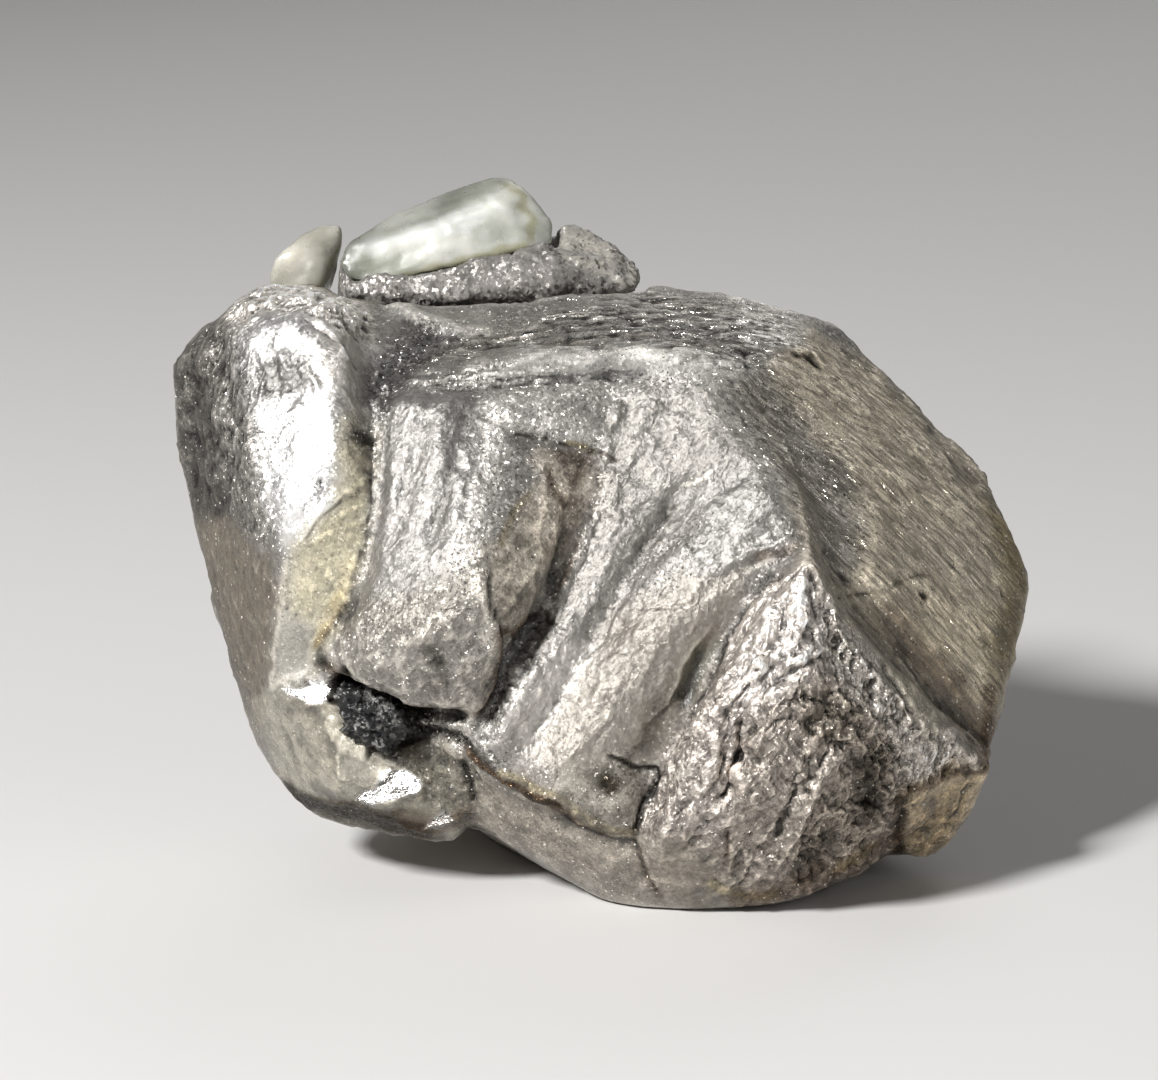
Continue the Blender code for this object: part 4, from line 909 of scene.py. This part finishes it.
def buildCluster():
    obj = plainCopy("phenakite_cluster", "cluster_surface")
    applyModifier(obj, "REMESH", mode="VOXEL", voxel_size=clusterSettings["grid"] * mm)
    applyModifier(obj, "SMOOTH", factor=0.5, iterations=clusterSettings["smoothing"])
    subdivideWhere(obj, inFront)
    subdivideWhere(obj, inFineRegions)
    applyModifier(obj, "SHRINKWRAP", target=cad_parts["phenakite_cluster"])
    relax(obj, clusterSettings["rounding"], clusterSettings["finest"])
    points = readPoints(obj)
    normals = readNormals(obj)
    print("cluster grid", len(points), "points")

    facing = seenFacing(points, normals)
    front = ramp(facing, *clusterSettings["frontEdge"])
    spots = seenPlace(points)
    stray = np.column_stack([lumps(points, 0.9, shift) for shift in (7.3, 31.1)]) * clusterSettings["wander"]
    drawn = spots + stray
    seen = ramp(facing, *clusterSettings["seenEdge"])
    area, tone = {}, {}
    for name, outline in clusterRegions.items():
        depth = depthInside(spots + stray * 2.0, outline)
        area[name] = ramp(depth, *clusterSettings["areaEdge"]) * seen
        edge = "facetEdge" if name.startswith("facet") else "toneEdge"
        tone[name] = ramp(depth, *clusterSettings[edge]) * seen
    print("regions placed")

    near = points[:, 1] < clusterSettings["fillsBefore"]
    for rounds, outline in clusterFills:
        fillIn(obj, 0.5 * ramp(depthInside(spots, outline), 0.0, 0.3) * near, rounds)
    for forms in clusterForms.values():
        raiseBy(obj, drawForms(drawn, forms) * front)
    for rise, outline in clusterPlates:
        share = ramp(depthInside(drawn, outline), *clusterSettings["plateEdge"])
        raiseBy(obj, rise * share * front)
    for share, soft, outline in clusterFlats:
        pressFlat(obj, share * ramp(depthInside(spots, outline), -soft, soft) * front, lightTurn)
    print("forms drawn")

    addCombined(area, spots)
    addCombined(tone, drawn)
    raiseBy(obj, reliefOf(points, spots, area, front))
    writePoints(obj, keepInBox(readPoints(obj)))
    print("surface textured")
    finishCluster(obj, points, drawn, tone, front)
    return obj


def inFront(middles, normals):
    return seenFacing(middles, normals) > clusterSettings["frontFrom"]


def inFineRegions(middles, normals):
    spots = seenPlace(middles)
    wanted = np.zeros(len(middles), bool)
    for name in fineRegions:
        wanted |= depthInside(spots, clusterRegions[name]) > -0.2
    return wanted & (seenFacing(middles, normals) > 0.1)


def pressFlat(obj, share, turn):      # presses part of a surface flat, square to a direction
    points = readPoints(obj)
    way = np.array(turn) / np.linalg.norm(turn)
    heights = points @ way
    middle = np.average(heights, weights=share + 1e-9)
    writePoints(obj, points + np.outer((middle - heights) * share, way))


def addCombined(share, spots):      # parts that are made up of several regions
    slabs = np.clip(share["slabA"] + share["slabB"] + share["patch"], 0, 1)
    share["pebbly"] = slabs * (1 - share["ridgeStrip"])
    beside = 0.4 * (share["middlePlate"] + share["bulge"])
    share["striped"] = np.clip(share["middleStriped"] + beside, 0, 1)
    share["upperSide"] = share["leftSide"] * ramp(spots[:, 1], -0.5, 2.5)
    share["panes"] = share["window"] + share["plate"]
    share["lower"] = share["band"] + share["knob"] + share["footFacet"]
    share["openPyramid"] = share["pyramid"] * (1.0 - share["tab"])
    share["pyramidFoot"] = share["openPyramid"] * (1.0 - share["pyramidTop"])
    share["smoky"] = sum(share[name] for name in smokyRegions) * (1.0 - share["facetPale"])


def reliefOf(points, spots, area, front):
    area = {**area, "everywhere": 1.0, "back": 1.0 - front}
    fan = fannedOut(points, spots, pyramidApex, clusterSettings["fanStretch"])
    height = np.zeros(len(points))
    for part, reliefs in clusterRelief.items():
        for kind, rise, size, shift, run, *tip in reliefs:
            place = points
            if run == "fan":
                place = fan
            elif run:
                place = stretched(points, *run)
            height += area[part] * rise * kind(place, size, shift, *tip)
    return height * ramp(points[:, 2], 0.0, clusterSettings["plainFoot"])


def finishCluster(obj, points, drawn, tone, front):      # writes the finish of each point
    values = np.tile(plainFinish, (len(points), 1))
    for name, (colour, *rest) in clusterFinish.items():
        share = tone[name][:, None]
        values += share * (np.array((*colour, *rest)) - values)
    back = (1.0 - front)[:, None]
    values += back * (np.array(backFinish) - values)
    values += back * ramp(lumps(points, 3.2, 50.0), -0.2, 0.4)[:, None] * (np.array(backBrown) - values)
    colours, metal, glass = values[:, :3], values[:, 3:4], values[:, 4:5]
    for colour, strength, reach, line in clusterStains:
        share = strength * ramp(reach - lineDistance(drawn, line)[0], 0.0, reach * 0.8) * front
        share = share[:, None]
        colours += share * (np.array(colour) - colours)
        glass *= 1.0 - share
        if max(colour) < clusterSettings["darkStain"]:
            metal += share * (clusterSettings["stainMetal"] - metal)
    tint = obj.data.attributes.new("tint", "FLOAT_COLOR", "POINT")
    opaque = np.column_stack((colours, np.ones(len(points))))
    tint.data.foreach_set("color", opaque.astype(np.float32).ravel())
    for column, name in enumerate(finishMasks):
        writeMask(obj, name, values[:, 3 + column])
    for name, shares in clusterMasks.items():
        writeMask(obj, name, sum(share * tone[region] for region, share in shares.items()))
    writeMask(obj, "dim", 1.0 - sum(tone[name] for name in brightRegions))
    # Depth of grooves and edges, which the shader uses for painted shade and painted highlight
    depth = hollowness(readPoints(obj), readNormals(obj), edgesOf(obj))
    writeMask(obj, "hollow", 0.5 + (0.12 + 0.38 * front) * depth)


def hollowness(points, normals, edges):      # above zero in grooves, below on edges
    spread = points
    depth = np.zeros(len(points))
    for step in range(clusterSettings["hollowRounds"]):
        spread = aroundMean(spread, edges)
        depth += np.sum((spread - points) * normals, axis=1)
    return np.clip(depth / clusterSettings["hollowDepth"], -1.0, 1.0)


# Shading

class Wire:      # a socket that can be written in sums
    def __init__(self, paint, socket):
        self.paint = paint
        self.socket = socket

    def __add__(self, other):
        return self.paint.maths("ADD", self, other)

    def __radd__(self, other):
        return self.paint.maths("ADD", other, self)

    def __sub__(self, other):
        return self.paint.maths("SUBTRACT", self, other)

    def __rsub__(self, other):
        return self.paint.maths("SUBTRACT", other, self)

    def __mul__(self, other):
        return self.paint.maths("MULTIPLY", self, other)

    def __rmul__(self, other):
        return self.paint.maths("MULTIPLY", other, self)


class Paint:      # one material and what adds nodes to it
    def __init__(self, name):
        self.material = bpy.data.materials.new(name)
        self.material.use_nodes = True
        self.tree = self.material.node_tree
        self.tree.nodes.clear()
        self.place = self.scaled(self.add("ShaderNodeTexCoord", output="Object"), 1 / mm)

    def add(self, kind, settings=None, sockets=None, output=0):
        node = self.tree.nodes.new(kind)
        for name, value in (settings or {}).items():
            setattr(node, name, value)
        for name, value in (sockets or {}).items():
            socket = node.inputs[name]
            if isinstance(value, Wire):
                self.tree.links.new(value.socket, socket)
            elif isinstance(value, tuple) and len(value) == 3 and socket.type == "RGBA":
                socket.default_value = (*value, 1.0)
            else:
                socket.default_value = value
        return Wire(self, node.outputs[output]) if node.outputs else None

    def maths(self, operation, first, second):
        return self.add("ShaderNodeMath", {"operation": operation}, {0: first, 1: second})

    def mask(self, name):
        return self.add("ShaderNodeAttribute", {"attribute_name": name}, output="Fac")

    def noise(self, scale, detail, place=None, rough=0.5):
        return self.add("ShaderNodeTexNoise", None,
                        {"Vector": place or self.place, "Scale": scale, "Detail": detail, "Roughness": rough})

    def folds(self, scale, place):      # branching ridges
        return self.add("ShaderNodeTexNoise", {"noise_type": "RIDGED_MULTIFRACTAL"},
                        {"Vector": place, "Scale": scale, "Detail": 4.0, "Gain": 1.0, "Offset": 0.9})

    def cells(self, scale, output, place=None):
        sockets = {"Vector": place or self.place, "Scale": scale}
        return self.add("ShaderNodeTexVoronoi", None, sockets, output)

    def dots(self, scale, size, rare):      # specks in a few of the cells
        near = self.between(self.cells(scale, "Distance"), size, size * 0.5)
        return near * self.between(self.firstOf(self.cells(scale, "Color")), rare, rare + 0.02)

    def firstOf(self, colour):
        return self.add("ShaderNodeSeparateColor", None, {"Color": colour})

    def bend(self, place, scale, amount):      # place moved about by noise
        sockets = {"Vector": place, "Scale": scale, "Detail": 1.0}
        stray = self.centred(self.add("ShaderNodeTexNoise", None, sockets, "Color"))
        return self.vector("MULTIPLY_ADD", {0: stray, 1: (amount,) * 3, 2: place})

    def vector(self, operation, sockets):
        return self.add("ShaderNodeVectorMath", {"operation": operation}, sockets)

    def centred(self, colour):      # from -0.5 to 0.5
        return self.vector("SUBTRACT", {0: colour, 1: (0.5, 0.5, 0.5)})

    def choose(self, share, first, second):      # between two places
        return self.add("ShaderNodeMix", {"data_type": "VECTOR"}, {0: share, 4: first, 5: second}, 1)

    def drawnOut(self, turn, times):      # place turned, then squeezed along its Z
        return self.add("ShaderNodeMapping", {"vector_type": "TEXTURE"},
                        {"Vector": self.place, "Rotation": turn, "Scale": (1.0, 1.0, times)})

    def between(self, value, low, high):      # 0 to 1 as value goes from low to high
        return self.add("ShaderNodeMapRange", {"interpolation_type": "SMOOTHSTEP"},
                        {"Value": value, "From Min": low, "From Max": high})

    def tint(self, share, first, second):
        return self.add("ShaderNodeMix", {"data_type": "RGBA"}, {0: share, 6: first, 7: second}, 2)

    def scaled(self, colour, amount):
        return self.vector("SCALE", {"Vector": colour, "Scale": amount})

    def bump(self, height, distance, strength, normal=None):
        sockets = {"Height": height, "Distance": distance, "Strength": strength}
        if normal:
            sockets["Normal"] = normal
        return self.add("ShaderNodeBump", None, sockets)

    def tipped(self, scale, place=None):      # a lean of its own for each grain
        return self.centred(self.cells(scale, "Color", place))

    def glints(self, lean, spread, straight=None):      # a normal that leans by spread
        straight = straight or self.add("ShaderNodeNewGeometry", output="Normal")
        return self.vector("NORMALIZE", {0: self.vector("ADD", {0: straight, 1: self.scaled(lean, spread)})})

    def surface(self, sockets):
        return self.add("ShaderNodeBsdfPrincipled", None, sockets)

    def blend(self, share, first, second):
        return self.add("ShaderNodeMixShader", None, {0: share, 1: first, 2: second})

    def absorb(self, colour, density):      # density for each metre
        return self.add("ShaderNodeVolumeAbsorption", None, {"Color": colour, "Density": density})

    def finish(self, shader, inside=None):
        sockets = {"Surface": shader}
        if inside:
            sockets["Volume"] = inside
        self.add("ShaderNodeOutputMaterial", None, sockets)
        return self.material


def directionTurn(way):      # rotation that lays Z along a direction
    return tuple(Vector(way).to_track_quat("Z", "Y").to_euler())


crystalIor = 1.65
clusterColours = {
    "smoke": (0.085, 0.072, 0.055),
    "veil": (0.62, 0.59, 0.52),
    # Colour of the white specks that are painted glints
    "paintedGlint": (0.92, 0.88, 0.80),
    "mica": (0.30, 0.30, 0.31),
    "glass": (0.75, 0.72, 0.62),
}


def paintCluster():
    paint = Paint("cluster_finish")
    tint = paint.add("ShaderNodeAttribute", {"attribute_name": "tint"}, output="Color")
    metal, glass, grain, streaks, gloss, mica = (paint.mask(name) for name in finishMasks)
    rough, lively, facet, dim = (paint.mask(name) for name in ("rough", "lively", "facet", "dim"))
    steep, level, hollow = (paint.mask(name) for name in ("steep", "level", "hollow"))
    fine = paint.noise(5.0, 4.0)
    cloud = paint.noise(0.7, 5.0)
    speck = paint.noise(13.0, 3.0)
    stray = (fine - 0.5) * 0.6 + (cloud - 0.5) * 0.9

    # Streaks along the crystals, and grains
    runs = [paint.bend(paint.drawnOut(directionTurn(way), 7.0), 0.35, 0.9) for way in (fall, down, sideways)]
    slanting, falling, lying = (paint.noise(4.0, 3.5, run, 0.62) for run in runs)
    streak = slanting + (falling - slanting) * steep
    streak = streak + (lying - streak) * level
    fibre = paint.noise(11.0, 3.0, paint.choose(level, runs[0], runs[2]), 0.6)
    bent = paint.bend(paint.drawnOut(directionTurn(slant), 1.7), 2.0, 0.35)
    pebble = paint.noise(4.0, 1.0, bent)
    crumple = paint.folds(2.2, bent)

    # Shares of metal, mica and glass, then light and dark
    metalShare = paint.between(metal + stray, 0.15, 0.85)
    micaShare = paint.between(mica + stray * 0.8, 0.42, 0.58)
    glassShare = paint.between(glass + stray, 0.2, 0.9)
    spark = paint.between(speck + 0.05 * lively, 0.55, 0.61) * (0.15 + 0.85 * dim + 0.4 * lively)
    blotch = paint.noise(2.2, 4.0, rough=0.68)
    light = 0.62 + 0.5 * fine + 0.35 * (cloud - 0.5) - 0.6 * grain * (pebble - 0.5)
    light = light + ((1.3 + 1.5 * level) * (streak - 0.5) + 0.9 * (fibre - 0.5)) * streaks
    light = light + 0.8 * (paint.noise(2.6, 4.0, rough=0.6) - 0.5) * glass + 1.8 * (blotch - 0.5) * rough
    light = light + (0.4 + 0.8 * dim + 1.2 * lively - 1.0 * facet) * (speck - 0.5)
    # Painted shade darkens the grooves, and a painted highlight lightens the edges
    light = light * (1.0 - (0.75 - 0.5 * mica) * paint.between(hollow, 0.56, 1.0))
    light = light * (1.0 + 0.8 * paint.between(hollow, 0.45, 0.1))

    # Colour
    smoke = paint.between(paint.noise(1.0, 4.0, rough=0.62), 0.40, 0.64) * paint.mask("smoke")
    veil = paint.between(paint.noise(1.7, 4.0, rough=0.6), 0.55, 0.72) * glass
    colour = paint.tint(smoke * 0.75, tint, clusterColours["smoke"])
    colour = paint.tint(veil * 0.45, colour, clusterColours["veil"])
    colour = paint.scaled(colour, light)
    # White specks in a few grains: painted glints
    paintedGlint = paint.dots(4.6, 0.24, 0.84 - 0.20 * lively) * (0.65 + 0.25 * lively)
    colour = paint.tint(paintedGlint, colour, clusterColours["paintedGlint"])
    flash = micaShare * paint.between(speck, 0.52, 0.70) * 0.6
    colour = paint.tint(flash, colour, clusterColours["mica"])

    # Relief, and a lean for each grain that makes it glint
    height = grain * (crumple * 0.4 - pebble * 0.7) + streak * (0.2 + 1.1 * streaks)
    height = height + (fine * 0.4 + speck * 0.3) * (1.0 - 0.6 * streaks)
    height = height + rough * (crumple + blotch * 1.7)
    relief = fine * 0.7 + speck * 0.5 + crumple * 0.3
    drawn = paint.choose(paint.between(level, 0.45, 0.55), runs[0], runs[2])
    streaked = paint.between(streaks + 0.5 * (cloud - 0.5), 0.45, 0.55)
    tip = paint.tipped(9.0, paint.choose(streaked, paint.place, drawn))
    spread = (0.24 + 0.14 * dim + 0.10 * rough + 1.1 * spark) * (1.0 - 0.75 * facet)
    facing = paint.glints(lightTurn, 4.0 * facet)
    satin = paint.surface({
        "Base Color": colour,
        "Roughness": 0.52 + 0.14 * fine - 0.22 * gloss - 0.12 * facet - 0.26 * spark,
        "Metallic": 0.95 * metalShare,
        "Normal": paint.bump(height, 0.055 * mm, 0.9, paint.glints(tip, spread, facing)),
        "IOR": crystalIor,
        "Coat Weight": 0.8 * gloss,
        "Coat Roughness": 0.25,
    })
    clear = paint.surface({
        "Base Color": paint.tint(0.12, colour, clusterColours["glass"]),
        "Roughness": 0.16 + 0.25 * fine,
        "Normal": paint.bump(relief, 0.05 * mm, 0.8, paint.glints(tip, 0.16 + 0.5 * spark)),
        "IOR": crystalIor,
        "Transmission Weight": 0.5,
    })
    return paint.finish(paint.blend(glassShare * (1.0 - micaShare), satin, clear))


# The clear crystals
paleRun = (1.0, 0.0, 0.35)
chipRun = (0.6, 0.0, 0.8)
paleColours = {
    "clear": (0.87, 0.885, 0.83),
    "milk": (0.50, 0.52, 0.475),
    "veil": (0.63, 0.64, 0.60),
    "stain": (0.57, 0.505, 0.41),
    "murk": (0.27, 0.29, 0.23),
    "shine": (0.80, 0.82, 0.80),
    "rim": (0.36, 0.34, 0.20),
    "inside": (0.78, 0.80, 0.70),
}


def paintPale(name, milkiness, stain):
    paint = Paint(name)
    cloud = paint.noise(0.35, 4.0)
    fine = paint.noise(3.0, 3.0)
    along = paint.noise(1.2, 3.0, paint.drawnOut(directionTurn(paleRun), 6.0))
    milk = paint.tint(paint.between(cloud, 0.35, 0.65), paleColours["milk"], paleColours["veil"])
    stained = 0.5 + 0.5 * paint.between(fine * 0.5 + cloud * 0.5, 0.5, 0.7)
    milk = paint.tint(stained * stain, milk, paleColours["stain"])
    for mark, share in (("murk", 0.8), ("shine", 0.8), ("rim", 0.7)):
        milk = paint.tint(paint.mask(mark) * share, milk, paleColours[mark])
    normal = paint.bump(fine * 0.4 + along * 0.8, 0.03 * mm, 0.5)
    clear = paint.surface({
        "Base Color": paleColours["clear"],
        "Roughness": 0.22 + 0.15 * fine,
        "Normal": normal,
        "IOR": crystalIor,
        "Transmission Weight": 1.0,
    })
    cloudy = paint.surface({
        "Base Color": milk,
        "Roughness": 0.18 + 0.15 * fine,
        "Normal": normal,
        "IOR": crystalIor,
        "Subsurface Weight": 0.6,
        "Subsurface Radius": (1.0, 1.0, 0.8),
        "Subsurface Scale": 1.2 * mm,
    })
    share = paint.between(cloud + (along - 0.5) * 0.4, 0.05, 0.65) * (1.0 - 0.5 * paint.mask("thin"))
    shader = paint.blend(share * milkiness, clear, cloudy)
    return paint.finish(shader, paint.absorb(paleColours["inside"], paleSettings["absorption"]))


def paintMica(name, dark, bright, paleness, spread):
    paint = Paint(name)
    grain = paint.firstOf(paint.cells(7.0, "Color"))
    fine = paint.noise(6.0, 3.0)
    cloud = paint.noise(1.2, 4.0)
    share = paint.between(grain * 0.6 + fine * 0.5 + (cloud - 0.5) * 1.6 + paleness, 0.55, 1.05)
    colour = paint.tint(share, dark, bright)
    colour = paint.tint(paint.mask("pale") * paint.between(cloud, 0.3, 0.6), colour, micaPale)
    lean = paint.glints(paint.tipped(7.0), spread)
    shader = paint.surface({
        "Base Color": colour,
        "Roughness": 0.25 + 0.30 * fine,
        "Metallic": 0.4 - 0.3 * paint.mask("pale"),
        "Normal": paint.bump(fine, 0.05 * mm, 0.7, lean),
        "IOR": 1.6,
    })
    return paint.finish(shader)


def finish(obj, material, node):
    obj.data.materials.clear()
    obj.data.materials.append(material)
    bpy.ops.object.select_all(action="DESELECT")
    bpy.context.view_layer.objects.active = obj
    obj.select_set(True)
    bpy.ops.object.shade_smooth()
    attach(obj, "root")
    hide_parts(node)


# Darker and brighter places of the clear crystals, their thin edge and their rims
paleMarks = {
    "murk": [[(-9.89, 11.14), (-9.37, 11.3), (-8.29, 11.46), (-7.17, 11.38), (-6.17, 11.14),
        (-6.37, 10.74), (-7.77, 10.45), (-9.37, 10.53)]],
    "shine": [
        [(-9.33, 11.74), (-7.97, 12.14), (-7.17, 12.34), (-6.17, 12.78), (-4.97, 13.3), (-4.05, 13.46),
            (-3.56, 13.14), (-3.97, 12.58), (-5.17, 12.18), (-6.37, 11.98), (-7.37, 11.82), (-8.97, 11.46)],
        [(-3.69, 13.86), (-3.28, 13.78), (-2.88, 13.3), (-3.16, 13.06), (-3.56, 13.38)],
    ],
}
paleEdge = [(-9.65, 11.62), (-8.77, 12.1), (-7.17, 12.74), (-5.97, 13.3), (-4.77, 14.02), (-3.16, 14.42)]
paleRims = [
    [(-7.17, 10.49), (-5.57, 10.94), (-3.56, 11.46), (-2.2, 11.78)],
    [(-2.96, 14.26), (-2.36, 13.82), (-2.0, 13.02), (-1.92, 12.1)],
]
paleSettings = {
    "grid": 0.16,
    "smoothing": 10,
    "wave": 0.10,           # swell of the faces
    "fine": 0.03,
    "absorption": 400.0,    # for each metre
}


def buildPale(node, name, along):
    obj = plainCopy(node, name)
    applyModifier(obj, "REMESH", mode="VOXEL", voxel_size=paleSettings["grid"] * mm)
    applyModifier(obj, "SMOOTH", factor=0.5, iterations=paleSettings["smoothing"])
    points = readPoints(obj)
    drawn = stretched(points, along, 4.0)
    height = paleSettings["wave"] * lumps(drawn, 0.9, 3.0) + paleSettings["fine"] * lumps(drawn, 0.3, 8.0)
    height += paleSettings["fine"] * lumps(points, 0.5, 5.0)
    raiseBy(obj, height)
    writePoints(obj, keepInBox(readPoints(obj)))
    spots = seenPlace(points) + 0.25 * lumps(points, 0.7)[:, None]
    for mark, outlines in paleMarks.items():
        writeMask(obj, mark, sum(ramp(depthInside(spots, outline), -0.2, 0.25) for outline in outlines))
    writeMask(obj, "thin", ramp(0.9 - lineDistance(spots, paleEdge)[0], 0.0, 0.8))
    writeMask(obj, "rim", sum(ramp(0.28 - lineDistance(spots, line)[0], 0.0, 0.2) for line in paleRims))
    print(name, len(points), "points")
    return obj


# The mica
micaSettings = {
    "grid": 0.13,
    "smoothing": 3,
    "layering": 1.8,        # flakes are thinner than wide by this much
    "tip": 1.4,
    "swell": 0.12,
}
micaPale = (0.37, 0.35, 0.31)
micaPeak = [(-1.24, 12.5), (0.84, 12.5), (2.44, 11.14), (3.04, 10.21), (1.64, 10.21), (0.24, 10.74),
    (-0.76, 11.3)]
micaLifts = [      # rise and outline of what stands up against the clear crystals
    (0.65, [(-10.53, 9.61), (-10.53, 11.42), (-9.45, 11.42), (-9.17, 9.61)]),
    (0.35, [(-9.77, 9.61), (-9.77, 10.82), (-6.37, 10.41), (-1.96, 11.7), (-1.36, 12.42),
        (-1.08, 11.14), (-5.97, 9.41)]),
]


def buildMica(node, name, plate, rise):      # plate is the width of a flake
    obj = plainCopy(node, name)
    applyModifier(obj, "REMESH", mode="VOXEL", voxel_size=micaSettings["grid"] * mm)
    applyModifier(obj, "SMOOTH", factor=0.5, iterations=micaSettings["smoothing"])
    points = readPoints(obj)
    layered = points * (1.0, 1.0, micaSettings["layering"])
    small = 0.5 * flakes(layered, plate * 0.45, 9.0, micaSettings["tip"])
    height = rise * (flakes(layered, plate, 3.0, micaSettings["tip"]) + small)
    height += micaSettings["swell"] * lumps(points, 1.1, 2.0)
    spots = seenPlace(points)
    level = ramp(readNormals(obj)[:, 2], 0.2, 0.7)
    raiseBy(obj, height)
    points = readPoints(obj)
    for lift, outline in micaLifts:
        points[:, 2] += lift * ramp(depthInside(spots, outline), -0.3, 0.4) * level
    writePoints(obj, keepInBox(points))
    stray = 0.2 * lumps(points, 0.6)[:, None]
    writeMask(obj, "pale", ramp(depthInside(spots + stray, micaPeak), -0.25, 0.25))
    print(name, len(points), "points")
    return obj


micaColours = {      # dark and bright flakes
    "bed": ((0.205, 0.192, 0.18), (0.36, 0.34, 0.325)),
    "pocket": ((0.014, 0.014, 0.015), (0.40, 0.39, 0.37)),
}

surface = buildCluster()
finish(surface, paintCluster(), "phenakite_cluster")

crystal = buildPale("pale_crystal", "clear_crystal", paleRun)
finish(crystal, paintPale("clear_finish", 0.9, 0.1), "pale_crystal")
chip = buildPale("pale_chip", "clear_chip", chipRun)
finish(chip, paintPale("chip_finish", 0.95, 0.8), "pale_chip")

crust = buildMica("mica_bed", "mica_crust", 0.50, 0.06)
finish(crust, paintMica("mica_finish", *micaColours["bed"], 0.22, 0.8), "mica_bed")
nest = buildMica("mica_pocket", "mica_nest", 0.60, 0.26)
finish(nest, paintMica("nest_finish", *micaColours["pocket"], -0.02, 0.9), "mica_pocket")


# Floor, light and camera

stageSettings = {
    "size": 6.0,
    "drop": 0.00005,        # keeps the floor clear of the resting face
    "floor": (0.74, 0.735, 0.73),
    "floorRoughness": 0.7,
    "world": (0.084, 0.081, 0.078),
    "worldStrength": 1.0,
}


def buildStage():
    bpy.ops.object.select_all(action="DESELECT")
    place = (0.0, 0.0, -stageSettings["drop"])
    bpy.ops.mesh.primitive_plane_add(size=stageSettings["size"], location=place)
    floor = bpy.context.object
    floor.name = "floor"
    paint = Paint("floor_finish")
    floor.data.materials.append(paint.finish(paint.surface({
        "Base Color": stageSettings["floor"],
        "Roughness": stageSettings["floorRoughness"],
    })))
    world = bpy.data.worlds.new("studio")
    world.use_nodes = True
    background = world.node_tree.nodes["Background"]
    background.inputs["Color"].default_value = (*stageSettings["world"], 1.0)
    background.inputs["Strength"].default_value = stageSettings["worldStrength"]
    bpy.context.scene.world = world


lampAim = (0.0, 0.0, 0.013)
lamps = {      # where it stands as seen from that place, distance, size, power and colour
    "key": ((-0.54, -0.60, 0.59), 0.45, 0.075, 3.0, (1.0, 0.99, 0.975)),
    "fill": ((0.75, -0.55, 0.35), 0.6, 0.5, 0.35, (1.0, 1.0, 1.0)),
    "rim": ((0.2, 0.8, 0.6), 0.6, 0.4, 0.5, (1.0, 1.0, 1.0)),
}


def softLight(name, towards, distance, size, power, colour):
    lamp = bpy.data.lights.new(name, "AREA")
    lamp.shape = "DISK"
    lamp.size = size
    lamp.energy = power
    lamp.color = colour
    obj = bpy.data.objects.new(name, lamp)
    bpy.context.scene.collection.objects.link(obj)
    way = Vector(towards).normalized()
    obj.location = Vector(lampAim) + way * distance
    obj.rotation_mode = "QUATERNION"
    obj.rotation_quaternion = way.to_track_quat("Z", "Y")


def buildCamera():
    camera = bpy.data.cameras.new("camera")
    camera.lens = view["lens"]
    camera.sensor_width = view["sensor"]
    camera.clip_start = 0.005
    camera.clip_end = 20.0
    obj = bpy.data.objects.new("camera", camera)
    bpy.context.scene.collection.objects.link(obj)
    obj.location = Vector(view["eye"]) * mm
    obj.rotation_euler = (math.pi / 2 - tilt, 0.0, 0.0)
    bpy.context.scene.camera = obj


buildStage()
for name, lamp in lamps.items():
    softLight(name, *lamp)
buildCamera()
bpy.context.scene.view_settings.view_transform = "Standard"
print("stage set")
